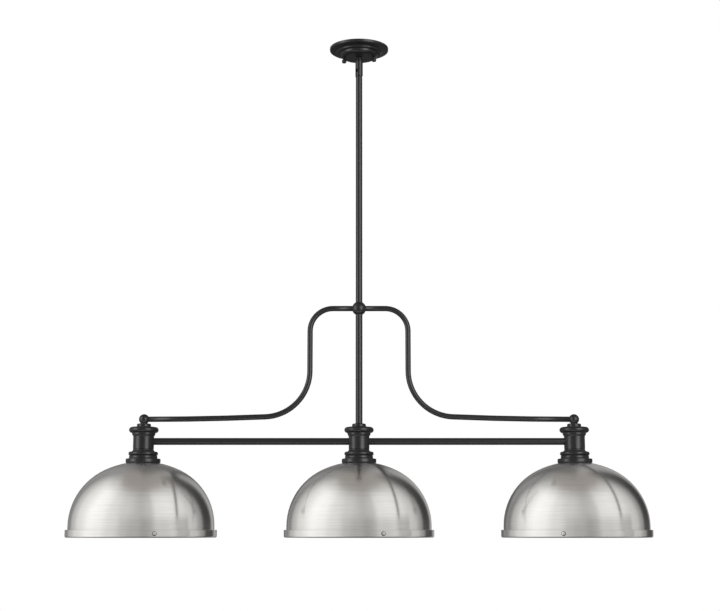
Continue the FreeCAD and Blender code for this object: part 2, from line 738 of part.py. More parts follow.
upper_hole = rod_radius + fit_gap
lower_hole = stem_radius + fit_gap
hub = turned("hub_turning", [
    (lower_hole, hub_radius - ball_edge(hub_radius, lower_hole), hub_radius),
    (hub_radius, hub_radius, hub_radius),
    (upper_hole, hub_radius + ball_edge(hub_radius, upper_hole)),
    (upper_hole, hub_radius + hub_socket_level),
    (hub_passage, hub_radius + hub_socket_level),
    (hub_passage, hub_radius - hub_socket_level),
    (lower_hole, hub_radius - hub_socket_level)])
arm_sockets = []
for label, side in (("left", -1), ("right", 1)):
    bore = rod_solid("hub_socket_" + label, arm_radius + fit_gap, hub_radius)
    start = arm_socket_place if side > 0 else -arm_socket_place - hub_radius
    arm_sockets.append(place(bore, across=start, up=hub_radius, turn=lying))
hub_ball = cut("centre_ball", hub, fused("hub_sockets", arm_sockets))
node(place(hub_ball, up=hub_level - hub_radius), "centre_ball")

# an arm runs level out of the ball, bends down, then bends out again and droops to level
droop_length = (arm_droop * arm_droop + 1.0).root()
arm_end_place = lamp_spacing - end_ball_radius / 2
sweep_start = arm_leg_place + arm_low_bend - arm_low_bend * arm_droop / droop_length
sweep_run = arm_end_place - sweep_start
sweep_bend = sweep_run * droop_length / arm_droop
sweep_rise = sweep_run * (droop_length - 1.0) / arm_droop
leg_bottom = sweep_rise + arm_low_bend / droop_length
for label, side in (("left", -1), ("right", 1)):
    name = "arm_" + label
    body = doc.addObject("PartDesign::Body", name)
    path = new_sketch(body, "XZ_Plane", name + "_path")
    draw_outline(path, [
        (arm_socket_place, arm_fall),
        (arm_leg_place - arm_top_bend, arm_fall, -arm_top_bend),
        (arm_leg_place, arm_fall - arm_top_bend),
        (arm_leg_place, leg_bottom, arm_low_bend),
        (sweep_start, sweep_rise, sweep_bend),
        (arm_end_place, ZERO)], closed=False)
    section = new_sketch(body, "YZ_Plane", name + "_section")
    section.setExpression("AttachmentOffset.Base.z", arm_socket_place.text)
    draw_circle(section, ZERO, arm_fall, arm_radius)
    draw_circle(section, ZERO, arm_fall, arm_radius - arm_wall)
    sweep = body.newObject("PartDesign::AdditivePipe", name + "_sweep")
    sweep.Profile = section
    sweep.Spine = (path, ["Edge%d" % (number + 1) for number in range(5)])
    node(place(body, up=arm_end_level, turn=heading(0 if side > 0 else 180)), name)

    # the end ball, with the neck that stands on the column and the stud that runs into it
    stud_length = disc_height + flange_height + stud_reach
    base = stud_length + end_ball_height
    neck_meets = base - ball_edge(end_ball_radius, end_ball_neck)
    ball = turned("end_ball_turning_" + label, [
        (ZERO, ZERO), (stud_radius, ZERO), (stud_radius, stud_length),
        (end_ball_neck, stud_length), (end_ball_neck, neck_meets, end_ball_radius),
        (end_ball_radius, base, end_ball_radius), (ZERO, base + end_ball_radius)])
    bore = rod_solid("end_ball_socket_" + label, arm_radius + fit_gap, end_ball_radius)
    bore_start = -end_ball_radius / 2 - end_ball_radius if side > 0 else end_ball_radius / 2
    place(bore, across=bore_start, up=base, turn=lying)
    end_ball = cut("end_ball_" + label, ball, bore)
    node(place(end_ball, across=lamp_spacing * side, up=disc_top - stud_length),
         "end_ball_" + label)

    # the bar pokes a little way into the hollow of the column at each of its ends
    bar_end = column_bore - bar_reach
    bar = tube("bar_" + label, bar_radius, bar_bore, lamp_spacing - bar_end * 2)
    bar_start = bar_end if side > 0 else bar_end - lamp_spacing
    node(place(bar, across=bar_start, up=bar_level, turn=lying), "bar_" + label)


# --------------------------------------------------------------------------------------
# One lamp: column, shade holder, dome, rim band, socket and bulb
# --------------------------------------------------------------------------------------
def column_pieces(name, side, across):
    """The turned pieces stacked on the lamp's axis, from the top disc to the shade holder."""
    hole = (stud_radius if side else stem_radius) + fit_gap
    disc = turned("column_disc_" + name, [
        (hole, ZERO), (disc_radius, ZERO), (disc_radius, disc_height - disc_round, disc_round),
        (disc_radius - disc_round, disc_height), (hole, disc_height)])
    node(place(disc, across=across, up=flange_top), "column_disc_" + name)

    roll_centre = flange_radius - flange_roll
    collar = column_bore - fit_gap
    ring_top = flange_ring_height + flange_spigot
    ring_foot = flange_ring_radius - flange_ring_round
    top = flange_height + flange_spigot
    flange = turned("column_flange_" + name, [
        (hole, ZERO), (collar, ZERO), (collar, flange_spigot),
        (ring_foot - flange_ring_round, flange_spigot),
        (ring_foot, flange_spigot + flange_ring_round),
        (flange_ring_radius, ring_top - flange_ring_round),
        (roll_centre, ring_top, flange_roll), (flange_radius, ring_top + flange_roll, flange_roll),
        (roll_centre, ring_top + flange_roll * 2),
        (disc_radius, top), (hole, top)])
    node(place(flange, across=across, up=column_top - flange_spigot), "column_flange_" + name)

    cove_top = bead_height + cove_height
    bead_foot = groove_depth
    bead_head = bead_height - groove_depth / 2
    bead_bend = crown_bend((bead_head - bead_foot) / 2, bead_swell)
    groove = column_radius - groove_depth
    flare = ring_foot - flange_ring_round * 2
    column = turned("column_body_" + name, [
        (nipple_radius + fit_gap, ZERO),
        (bead_radius - bead_swell - groove_depth, ZERO),
        (bead_radius - bead_swell, bead_foot, bead_bend), (bead_radius - bead_swell, bead_head),
        (column_radius + cove_height, bead_height, -cove_bend),
        (column_radius, cove_top),
        (groove, cove_top + groove_height * 0.2), (groove, cove_top + groove_height * 0.6),
        (column_radius, cove_top + groove_height),
        (column_radius, column_height - column_flare, -column_flare_bend),
        (flare, column_height - flange_ring_round),
        (flare - flange_ring_round, column_height),
        (column_bore, column_height), (column_bore, column_floor),
        (nipple_radius + fit_gap, column_floor)])
    drilled(column, "column_bar_hole_" + name, "YZ_Plane", bar_height, bar_radius + fit_gap,
            both_ways=side == 0)
    node(place(column, across=across, up=column_bottom, turn=heading(180 if side > 0 else 0)),
         "column_body_" + name)

    boss = nipple_radius + holder_wall * 2
    ceiling = holder_height - holder_wall
    cup = holder_waist - holder_wall * 1.5
    rim_start = holder_edge - holder_edge_round
    holder = turned("shade_holder_" + name, [
        (nipple_radius + fit_gap, ZERO), (boss, ZERO), (boss, ceiling), (cup, ceiling), (cup, ZERO),
        (holder_radius - holder_foot_round, ZERO, holder_foot_round),
        (holder_radius, holder_foot_round),
        (holder_radius, rim_start, holder_edge_round),
        (holder_radius - holder_edge_round, holder_edge),
        (holder_waist + holder_cove, holder_edge, -holder_cove),
        (holder_waist, holder_edge + holder_cove),
        (holder_waist, holder_height - groove_depth), (holder_waist - groove_depth, holder_height),
        (nipple_radius + fit_gap, holder_height)])
    node(place(holder, across=across, up=holder_bottom), "shade_holder_" + name)


def dome_arc_join(side_bend, top_radius, wall):
    """Where the dome's side arc meets its top arc, a wall's thickness in from the outside."""
    share = (side_bend - wall) / (top_radius - side_bend)
    return side_centre + side_centre * share, (-top_centre) * share


def shade_pieces(name, side, across):
    """The spun dome and the channel-shaped band round its rim, with the holes for screws."""
    outer_join, outer_join_rise = dome_arc_join(dome_side_bend, top_bend, ZERO)
    inner_join, inner_join_rise = dome_arc_join(dome_side_bend, top_bend, dome_wall)
    inner_flat = ((top_bend - dome_wall) * (top_bend - dome_wall)
                  - (flat_rise - dome_wall - top_centre) * (flat_rise - dome_wall - top_centre)
                  ).root()
    inner_radius = dome_radius - dome_wall
    dome = turned("dome_shade_" + name, [
        (dome_radius, ZERO), (dome_radius, dome_skirt, dome_side_bend),
        (outer_join, dome_skirt + outer_join_rise, top_bend),
        (dome_flat, dome_skirt + flat_rise),
        (nipple_radius + fit_gap, dome_skirt + flat_rise),
        (nipple_radius + fit_gap, dome_skirt + flat_rise - dome_wall),
        (inner_flat, dome_skirt + flat_rise - dome_wall, -(top_bend - dome_wall)),
        (inner_join, dome_skirt + inner_join_rise, -(dome_side_bend - dome_wall)),
        (inner_radius, dome_skirt), (inner_radius, ZERO)])
    screw_hole = rim_screw_radius + fit_gap
    turn = rim_screw_heading.value * (-1 if side > 0 else 1)
    hole = drilled(dome, "dome_screw_hole_" + name, "XZ_Plane", rim_screw_level - skirt_bottom,
                   screw_hole)
    around(dome, hole, 3, "dome_screw_holes_" + name)
    node(place(dome, across=across, up=skirt_bottom, turn=heading(turn)), "dome_shade_" + name)

    shelf = dome_radius + fit_gap
    inside = band_radius - band_wall
    lip = band_radius - band_lip
    band = turned("rim_band_" + name, [
        (lip, ZERO), (band_radius - band_round, ZERO, band_round), (band_radius, band_round),
        (band_radius, band_height - band_wall * 0.7, band_wall * 0.7),
        (band_radius - band_wall * 0.7, band_height),
        (shelf, band_height), (shelf, band_height - band_wall),
        (inside, band_height - band_wall),
        (inside, band_round, -(band_round - band_wall)), (band_radius - band_round, band_wall),
        (lip, band_wall)])
    hole = drilled(band, "band_screw_hole_" + name, "XZ_Plane", rim_screw_level - rim_level,
                   screw_hole)
    around(band, hole, 3, "band_screw_holes_" + name)
    node(place(band, across=across, up=rim_level, turn=heading(turn)), "rim_band_" + name)
    return turn


def rim_fasteners(name, across, turn):
    """The three round-headed screws through a rim band and dome, and their nuts inside."""
    screws = []
    nuts = []
    inner_face = dome_radius - dome_wall
    shank = band_radius - inner_face + rim_screw_reach
    for number in range(3):
        label = "%s_%d" % (name, number + 1)
        degrees = turn - 90.0 + 120.0 * number
        outward = heading(degrees) * lying
        screw = turned("rim_screw_" + label, [
            (ZERO, ZERO), (rim_screw_radius, ZERO), (rim_screw_radius, shank),
            (rim_screw_head, shank),
            (rim_screw_head, shank + rim_screw_edge, crown_bend(rim_screw_head, rim_screw_crown)),
            (ZERO, shank + rim_screw_edge + rim_screw_crown)])
        east, north = at_heading(band_radius - shank, degrees)
        screws.append(place(screw, across + east, north, rim_screw_level, outward))
        nut = hex_nut("rim_nut_" + label, rim_nut_radius, rim_screw_radius + fit_gap,
                      rim_nut_height)
        nut_face = (inner_face * inner_face - rim_nut_radius * rim_nut_radius).root()
        east, north = at_heading(nut_face - rim_nut_height, degrees)
        nuts.append(place(nut, across + east, north, rim_screw_level, outward))
    return screws, nuts


def socket_pieces(name, across):
    """The retaining plate's socket, its metal screw shell and the bulb screwed into it."""
    plate_top = holder_bottom - dome_wall
    socket_top = plate_top - plate_thickness
    socket_level = socket_top - socket_height
    hub_bore = nipple_radius + fit_gap
    lip_round = socket_neck * 0.3
    shoulder = socket_neck / 2
    nipple_end = socket_height - socket_nipple_depth
    socket = turned("lamp_socket_" + name, [
        (socket_bore, ZERO), (socket_radius - lip_round, ZERO, lip_round),
        (socket_radius, lip_round), (socket_radius, socket_depth - shoulder),
        (socket_radius - shoulder, socket_depth + shoulder, -(socket_neck * 1.6)),
        (socket_radius - socket_neck, nipple_end + shoulder),
        (socket_radius - socket_neck, socket_height),
        (hub_bore, socket_height), (hub_bore, nipple_end),
        (nipple_bore, nipple_end), (nipple_bore, socket_depth),
        (socket_bore, socket_depth)])
    node(place(socket, across=across, up=socket_level), "lamp_socket_" + name)

    shell_height = socket_depth - shell_set_back
    shell_hole = nipple_bore + shell_lead_room
    shell = turned("screw_shell_" + name, [
        (shell_radius - shell_wall, ZERO), (shell_radius, ZERO), (shell_radius, shell_height),
        (shell_hole, shell_height), (shell_hole, shell_height - shell_wall),
        (shell_radius - shell_wall, shell_height - shell_wall)])
    node(place(shell, across=across, up=socket_level + shell_set_back), "screw_shell_" + name)

    cap_top = socket_level + socket_depth - shell_wall - side_gap
    neck_bore = glass_neck + cement_gap
    cap_inside = cap_height - cap_crown
    tip_radius = cap_radius / 3
    cap = turned("bulb_cap_" + name, [
        (neck_bore, ZERO), (cap_radius, ZERO), (cap_radius, cap_inside + shell_wall),
        (tip_radius + shell_wall * 2, cap_height - shell_wall * 2), (tip_radius, cap_height),
        (ZERO, cap_height), (ZERO, cap_inside), (neck_bore - cap_crown / 4, cap_inside),
        (neck_bore, cap_inside - cap_crown / 4)])
    node(place(cap, across=across, up=cap_top - cap_height), "bulb_cap_" + name)

    # the glass: a globe, and a shoulder arc that meets it and the neck without a crease
    neck_reach = glass_neck + glass_shoulder
    reach = glass_radius + glass_shoulder
    shoulder_rise = (reach * reach - neck_reach * neck_reach).root()
    join = glass_radius * neck_reach / reach
    join_rise = glass_radius * shoulder_rise / reach
    inner_globe = glass_radius - glass_wall
    inner_join = inner_globe * neck_reach / reach
    inner_join_rise = inner_globe * shoulder_rise / reach
    neck_top = glass_radius + shoulder_rise + cap_height - glass_neck_drop + side_gap
    inner_neck = glass_neck - glass_wall
    glass = turned("bulb_glass_" + name, [
        (ZERO, ZERO, glass_radius), (glass_radius, glass_radius, glass_radius),
        (join, glass_radius + join_rise, -glass_shoulder),
        (glass_neck, glass_radius + shoulder_rise), (glass_neck, neck_top),
        (inner_neck, neck_top), (inner_neck, glass_radius + shoulder_rise,
                                 glass_shoulder + glass_wall),
        (inner_join, glass_radius + inner_join_rise, -inner_globe),
        (inner_globe, glass_radius, -inner_globe), (ZERO, glass_wall)])
    node(place(glass, across=across, up=cap_top - glass_neck_drop - neck_top), "bulb_glass_" + name)


def lamp_fasteners(name, side, across):
    """The nipple down the lamp's axis, the plate under the dome and the nuts in the column."""
    top = bore_top + lock_nut_height + flange_spigot
    plate_top = holder_bottom - dome_wall
    bottom = plate_top - plate_thickness - socket_nipple_depth
    pipe = place(tube("lamp_nipple_" + name, nipple_radius, nipple_bore, top - bottom),
                 across=across, up=bottom)
    plate = place(tube("retaining_plate_" + name, plate_radius, nipple_radius + fit_gap,
                       plate_thickness), across=across, up=plate_top - plate_thickness)
    low_nut = place(hex_nut("nipple_nut_" + name, lock_nut_radius, nipple_radius + fit_gap,
                            lock_nut_height), across=across, up=bore_top)
    shaft = stud_radius if side else stem_radius
    top_nut = place(hex_nut("top_nut_" + name, shaft + lock_nut_height, shaft + fit_gap,
                            lock_nut_height),
                    across=across, up=column_top - flange_spigot - lock_nut_height)
    return pipe, plate, [low_nut, top_nut]


nipples = []
plates = []
column_nuts = []
rim_screws = []
rim_nuts = []
for name, side in SIDES:
    across = lamp_spacing * side
    column_pieces(name, side, across)
    turn = shade_pieces(name, side, across)
    screws, nuts = rim_fasteners(name, across, turn)
    rim_screws += screws
    rim_nuts += nuts
    socket_pieces(name, across)
    pipe, plate, pair = lamp_fasteners(name, side, across)
    nipples.append(pipe)
    plates.append(plate)
    column_nuts += pair
node(group("rim_screws", rim_screws), "rim_screws")
node(group("rim_nuts", rim_nuts), "rim_nuts")
node(group("lamp_nipples", nipples), "lamp_nipples")
node(group("retaining_plates", plates), "retaining_plates")
node(group("column_nuts", column_nuts), "column_nuts")


# --------------------------------------------------------------------------------------
# Leads: one down the rods, and one from its end to each lamp
# --------------------------------------------------------------------------------------
rod_lead_top = rod_top - spigot_length - lead_end_room
rod_lead = rod_solid("rod_lead", rod_lead_radius, rod_lead_top - bar_level)
rod_lead_offset = hub_passage - rod_lead_radius - side_gap
node(place(rod_lead, across=rod_lead_offset, up=bar_level), "rod_lead")

lead_run_level = bar_level - bar_bore + lamp_lead_radius + side_gap
lead_foot = holder_bottom - dome_wall - plate_thickness - lamp_lead_depth
lamp_leads = [place(rod_solid("lamp_lead_centre", lamp_lead_radius, bar_level - lead_foot),
                    up=lead_foot)]
for label, side in (("left", -1), ("right", 1)):
    lead = wire("lamp_lead_" + label, [
        (lamp_spacing, ZERO),
        (lamp_spacing, lead_run_level - lead_foot - lamp_lead_curve, lamp_lead_curve),
        (lamp_spacing - lamp_lead_curve, lead_run_level - lead_foot),
        (rod_lead_radius + rod_lead_offset + side_gap * 3, lead_run_level - lead_foot)],
        lamp_lead_radius)
    lamp_leads.append(place(lead, up=lead_foot, turn=heading(0 if side > 0 else 180)))
node(group("lamp_leads", lamp_leads), "lamp_leads")


# --------------------------------------------------------------------------------------
# Recompute, check every object, and write one file for each sub-part
# --------------------------------------------------------------------------------------
doc.recompute()
for thing in doc.Objects:
    if "Invalid" in thing.State or "Error" in thing.State:
        raise RuntimeError("%s failed: %s" % (thing.Label, thing.State))
for thing in nodes:
    if thing.Shape.isNull() or not thing.Shape.isValid():
        raise RuntimeError("%s has no valid shape" % thing.Label)

os.makedirs("parts", exist_ok=True)
for thing in nodes:
    thing.Shape.exportStep("parts/%s.step" % thing.Label)
print("%d nodes written" % len(nodes))
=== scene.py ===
"""Looks of the linear island pendant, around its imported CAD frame.

Metres, in the CAD's own frame: the origin on the ceiling on the rod's axis, +Z up, +X along
the bars and -Y towards the front.  Outlines are written in millimetres, as the shop would.
"""
import json
import math

import bpy
import numpy as np
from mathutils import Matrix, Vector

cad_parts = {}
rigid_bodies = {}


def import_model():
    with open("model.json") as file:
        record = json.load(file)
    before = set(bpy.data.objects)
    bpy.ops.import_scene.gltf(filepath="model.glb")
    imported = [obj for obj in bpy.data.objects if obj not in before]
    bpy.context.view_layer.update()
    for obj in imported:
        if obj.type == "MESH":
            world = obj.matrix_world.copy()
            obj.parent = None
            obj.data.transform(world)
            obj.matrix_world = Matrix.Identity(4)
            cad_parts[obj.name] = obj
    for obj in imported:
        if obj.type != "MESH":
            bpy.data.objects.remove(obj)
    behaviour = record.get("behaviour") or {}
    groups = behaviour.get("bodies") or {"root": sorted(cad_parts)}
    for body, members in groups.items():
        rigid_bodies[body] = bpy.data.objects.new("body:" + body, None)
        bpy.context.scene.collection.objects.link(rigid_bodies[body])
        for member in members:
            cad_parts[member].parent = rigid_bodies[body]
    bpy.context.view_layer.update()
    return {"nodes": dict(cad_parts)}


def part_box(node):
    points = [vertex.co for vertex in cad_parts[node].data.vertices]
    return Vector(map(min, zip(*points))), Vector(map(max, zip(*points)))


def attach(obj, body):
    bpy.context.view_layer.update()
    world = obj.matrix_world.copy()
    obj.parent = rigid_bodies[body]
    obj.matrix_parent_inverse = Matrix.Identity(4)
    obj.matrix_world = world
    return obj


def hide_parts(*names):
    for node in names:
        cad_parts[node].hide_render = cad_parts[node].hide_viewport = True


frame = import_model()

# --- Camera ---------------------------------------------------------------------------
# A long lens, just above the level of the rims and pitched up, so that the rims are flat
# lines and the canopy is seen from below.
rims_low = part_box("rim_band_centre")[0]
camera_aside, camera_distance, camera_above_rims, camera_pitch = 0.0023, 3.339, 0.0108, 9.23
lens = bpy.data.cameras.new("camera_lens")
lens.lens = 70.0
lens.sensor_width = 36.0
lens.clip_end = 100.0
camera = bpy.data.objects.new("camera", lens)
camera.location = (camera_aside, -camera_distance, rims_low.z + camera_above_rims)
camera.rotation_euler = (math.radians(90.0 + camera_pitch), 0.0, 0.0)
bpy.context.scene.collection.objects.link(camera)
bpy.context.scene.camera = camera


# --- Studio: floor, soft walls and lamps ----------------------------------------------
# A plain pale floor about as far under the light as a worktop and a white surround, which
# the camera sees, and soft screens and dark flags, which light the metal and show in it.
def connect(tree, source, output, target, socket):
    """Wire one node's output to another node's input."""
    tree.links.new(source.outputs[output], target.inputs[socket])


def calculate(tree, operation, *values):
    """A Math node; each value is a number or an output of another node."""
    sum_node = tree.nodes.new("ShaderNodeMath")
    sum_node.operation = operation
    for number, value in enumerate(values):
        if isinstance(value, (int, float)):
            sum_node.inputs[number].default_value = value
        else:
            tree.links.new(value, sum_node.inputs[number])
    return sum_node.outputs[0]


def ramp(tree, value, stops):
    """A colour ramp of grey levels: stops are (place from 0 to 1, grey level)."""
    ramp_node = tree.nodes.new("ShaderNodeValToRGB")
    ramp_node.color_ramp.interpolation = "EASE"
    elements = ramp_node.color_ramp.elements
    while len(elements) < len(stops):
        elements.new(0.5)
    for element, (stop, level) in zip(elements, stops):
        element.position = stop
        element.color = (level, level, level, 1.0)
    tree.links.new(value, ramp_node.inputs["Fac"])
    return ramp_node.outputs["Color"]


def tinted(tree, value, low, high):
    """Mix two colours by a value; each colour is a triple or an output."""
    node = tree.nodes.new("ShaderNodeMix")
    node.data_type = "RGBA"
    for socket, colour in (("A", low), ("B", high)):
        if isinstance(colour, tuple):
            node.inputs[socket].default_value = (*colour, 1.0)
        else:
            tree.links.new(colour, node.inputs[socket])
    tree.links.new(value, node.inputs["Factor"])
    return node.outputs["Result"]


world = bpy.data.worlds.new("studio")
world.use_nodes = True
bpy.context.scene.world = world
studio = world.node_tree
studio.nodes.clear()
direction = studio.nodes.new("ShaderNodeTexCoord")
split = studio.nodes.new("ShaderNodeSeparateXYZ")
connect(studio, direction, "Generated", split, "Vector")

# a screen's heading in degrees (0 behind the camera, -90 on the left and 90 on the right)
# and its grey level; below, a turn_share of 0.5 is behind the camera and 0.75 on the right
heading = calculate(studio, "ARCTAN2", split.outputs["X"],
                    calculate(studio, "MULTIPLY", split.outputs["Y"], -1.0))
turn_share = calculate(studio, "MULTIPLY_ADD", heading, 0.5 / math.pi, 0.5)
screen_levels = ((-180, 0.28), (-168, 0.2), (-152, 0.34), (-142, 0.25), (-125, 0.62), (-105, 0.98),
                 (-78, 1.28), (-62, 1.2), (-42, 0.95), (-20, 0.78), (8, 0.6), (22, 0.68),
                 (34, 0.98), (55, 1.04), (76, 0.95), (98, 0.72), (114, 0.4), (126, 0.06),
                 (144, 0.05), (158, 0.45), (180, 0.28))
walls = ramp(studio, turn_share,
             [((degrees + 180) / 360, level) for degrees, level in screen_levels])

# a large round screen faces in from the right, so its edge shows as a thin dark arc
screen_facing = (0.855, 0.518, 0.036)
seam = studio.nodes.new("ShaderNodeVectorMath")
seam.operation = "DOT_PRODUCT"
seam.inputs[1].default_value = screen_facing
connect(studio, direction, "Generated", seam, 0)
seam_share = calculate(studio, "MULTIPLY_ADD", seam.outputs["Value"], 0.5, 0.5)
arc = ramp(studio, seam_share, [(0.0, 1.0), (0.768, 1.0), (0.779, 0.12), (0.794, 0.12),
                                (0.804, 1.0), (1.0, 1.0)])

# low behind the camera, on the right and behind the light the screens are dimmer
low_dimming = -0.42
low_turn = ramp(studio, turn_share, [(0.0, 1.0), (0.05, 1.0), (0.1, 0.0), (0.41, 0.0),
                                     (0.445, 0.42), (0.475, 0.58), (0.506, 0.4), (0.54, 0.78),
                                     (0.575, 0.55), (0.63, 0.66), (0.66, 0.52), (0.69, 0.95),
                                     (0.735, 1.0), (0.747, 0.1), (0.8, 0.0), (0.95, 0.0),
                                     (1.0, 1.0)])
low_levels = ramp(studio, split.outputs["Z"], [(0.0, 1.0), (0.22, 1.0), (0.27, 0.0), (1.0, 0.0)])
low_share = calculate(studio, "MULTIPLY", low_turn, low_levels)
arc_above = calculate(studio, "MAXIMUM", arc, low_levels)
beyond = calculate(studio, "MULTIPLY", arc_above,
                   calculate(studio, "MULTIPLY_ADD", low_share, low_dimming, 1.0))

# overhead the screens give way to the dim ceiling of the studio
dim_ceiling = (0.37, 0.35, 0.33)
overhead = calculate(studio, "SMOOTH_MAX", split.outputs["Z"], 0.0, 0.01)
ceiling_share = ramp(studio, overhead, [(0.0, 0.12), (0.15, 0.0), (0.76, 0.0), (0.88, 0.5),
                                        (0.95, 1.0), (1.0, 1.0)])

# well below the horizon they give way to a dark carpet
underfoot = calculate(studio, "MULTIPLY", split.outputs["Z"], -1.0)
carpet = ramp(studio, underfoot, [(0.0, 1.0), (0.3, 0.95), (0.5, 0.85), (0.85, 0.22), (1.0, 0.2)])
lit_walls = calculate(studio, "MULTIPLY", walls, calculate(studio, "MULTIPLY", beyond, carpet))

# a tall dark flag hangs high up behind the light
flag_dimming = -0.4
flag_turn = ramp(studio, turn_share, [(0.0, 1.0), (0.02, 1.0), (0.045, 0.0), (0.955, 0.0),
                                      (0.98, 1.0), (1.0, 1.0)])
flag_level = ramp(studio, split.outputs["Z"], [(0.0, 0.0), (0.35, 0.0), (0.5, 1.0), (0.9, 1.0),
                                               (0.96, 0.4), (1.0, 0.3)])
flag = calculate(studio, "MULTIPLY", flag_turn, flag_level)

reflected = studio.nodes.new("ShaderNodeBackground")
studio.links.new(tinted(studio, ceiling_share, lit_walls, dim_ceiling), reflected.inputs["Color"])
studio.links.new(calculate(studio, "MULTIPLY_ADD", flag, flag_dimming, 1.0),
                 reflected.inputs["Strength"])
plain = studio.nodes.new("ShaderNodeBackground")
plain.inputs["Color"].default_value = (1.0, 1.0, 1.0, 1.0)

# what the camera and clear glass see is the white surround; other rays see the soft screens
ray = studio.nodes.new("ShaderNodeLightPath")
plain_rays = calculate(studio, "MAXIMUM", ray.outputs["Is Camera Ray"],
                       ray.outputs["Is Transmission Ray"])
chosen = studio.nodes.new("ShaderNodeMixShader")
studio.links.new(plain_rays, chosen.inputs["Fac"])
studio.links.new(reflected.outputs[0], chosen.inputs[1])
studio.links.new(plain.outputs[0], chosen.inputs[2])
surround = studio.nodes.new("ShaderNodeOutputWorld")
studio.links.new(chosen.outputs[0], surround.inputs["Surface"])


def lamp(name, place, aim, size, watts):
    """A soft lamp of a width and height at a place, turned to face the aim."""
    light = bpy.data.lights.new(name, "AREA")
    light.shape = "RECTANGLE"
    light.size, light.size_y = size
    light.energy = watts
    light_object = bpy.data.objects.new(name, light)
    light_object.location = place
    away = Vector(place) - Vector(aim)
    light_object.rotation_euler = away.to_track_quat("Z", "Y").to_euler()
    light_object.visible_glossy = False
    light_object.visible_camera = False
    bpy.context.scene.collection.objects.link(light_object)
    return light_object


middle = (0.0, 0.0, -0.8)
lamp("key_lamp", (-2.2, -2.6, 0.6), middle, (1.6, 1.6), 26.0)
lamp("fill_lamp", (2.6, -2.2, -0.2), middle, (1.6, 1.6), 12.0)

# two tall strips and a low card that only the black pieces catch, as soft highlights
black_pieces = bpy.data.collections.new("black_pieces")
for name, place, aim, size, watts in (
        ("strip_left", (-3.5, -1.65, -0.1), (0.0, 0.0, -0.1), (1.9, 3.8), 160.0),
        ("strip_right", (2.5, -3.12, -0.1), (0.0, 0.0, -0.1), (2.5, 3.8), 270.0),
        ("low_card", (0.0, -0.65, -1.85), (0.0, 0.0, -0.98), (2.4, 0.35), 14.0)):
    card = lamp(name, place, aim, size, watts)
    card.visible_glossy = True
    card.light_linking.receiver_collection = black_pieces

floor_drop = 0.85
floor_radius = 7.0
floor_mesh = bpy.data.meshes.new("floor")
floor_angle = np.linspace(0.0, 2.0 * math.pi, 96, endpoint=False)
floor_points = np.stack((floor_radius * np.cos(floor_angle), floor_radius * np.sin(floor_angle),
                         np.full(floor_angle.size, rims_low.z - floor_drop)), axis=1)
floor_mesh.from_pydata(floor_points.tolist(), [], [list(range(floor_angle.size))])
floor = bpy.data.objects.new("floor", floor_mesh)
bpy.context.scene.collection.objects.link(floor)
pale = bpy.data.materials.new("pale_floor")
pale.use_nodes = True
pale_shader = pale.node_tree.nodes["Principled BSDF"]
pale_shader.inputs["Base Color"].default_value = (0.82, 0.82, 0.81, 1.0)
pale_shader.inputs["Roughness"].default_value = 0.9
pale_shader.inputs["Specular IOR Level"].default_value = 0.1
floor_mesh.materials.append(pale)
floor.visible_glossy = False


# --- Canopy ---------------------------------------------------------------------------
# A pan spun from one sheet of steel: a deep rolled rim, a flange, a bead, a foot wall and a
# soft shoulder, powder coated satin black.  Two knobs draw it up to the ceiling.
MM = 0.001  # outlines are in millimetres and meshes in metres


def arc_points(first, last, bend, step=math.radians(5.0)):
    """Points of the arc from first to last: centre a bend's length from both, bulging to the
    right of the way for a positive bend and to the left for a negative one."""
    first, last = np.array(first, float), np.array(last, float)
    chord = last - first
    half = np.hypot(*chord) / 2
    radius = max(abs(bend), half)
    side = np.array((chord[1], -chord[0])) / (2 * half) * math.copysign(1.0, bend)
    centre = (first + last) / 2 - side * math.sqrt(radius * radius - half * half)
    start = math.atan2(*(first - centre)[::-1])
    sweep = 2 * math.asin(min(half / radius, 1.0)) * math.copysign(1.0, bend)
    count = max(3, math.ceil(abs(sweep) / step)) + 1
    angle = start + np.linspace(0.0, sweep, count)
    return centre + radius * np.stack((np.cos(angle), np.sin(angle)), axis=1)


def traced(corners, closed=True):
    """Corners (across, up) or (across, up, bend to the next) as a polyline, arcs filled in."""
    points = []
    for number, corner in enumerate(corners):
        following = corners[(number + 1) % len(corners)]
        if len(corner) > 2 and (closed or number + 1 < len(corners)):
            points.extend(arc_points(corner[:2], following[:2], corner[2])[:-1])
        else:
            points.append(np.array(corner[:2], float))
    return np.array(points)


def eased(points, edge):
    """A closed polyline with each sharp corner rounded to an edge radius, and a point kept
    close to both ends of each long straight run, so that flat faces stay flat."""
    soft_turn, edge_points, guard_reach, guard_gap = math.radians(14.0), 5, 2.5, 1.2
    result = []
    count = len(points)
    for number in range(count):
        here = points[number]
        back, ahead = points[number - 1] - here, points[(number + 1) % count] - here
        long_back, long_ahead = np.hypot(*back), np.hypot(*ahead)
        if min(long_back, long_ahead) < 1e-9:
            continue
        turn = math.pi - math.acos(np.clip(back @ ahead / (long_back * long_ahead), -1.0, 1.0))
        guards = [min(edge * guard_reach, 0.3 * run) for run in (long_back, long_ahead)]
        ends = [here + back / long_back * guards[0], here + ahead / long_ahead * guards[1]]
        if turn < soft_turn or here[0] < 1e-6:
            result.append(here)
            continue
        reach = min(edge * math.tan(turn / 2), 0.25 * long_back, 0.25 * long_ahead)
        start, stop = here + back / long_back * reach, here + ahead / long_ahead * reach
        if guards[0] > reach * guard_gap:
            result.append(ends[0])
        share = np.linspace(0.0, 1.0, edge_points)[:, None]
        result.extend((1 - share) ** 2 * start + 2 * share * (1 - share) * here + share ** 2 * stop)
        if guards[1] > reach * guard_gap:
            result.append(ends[1])
    return np.array(result)


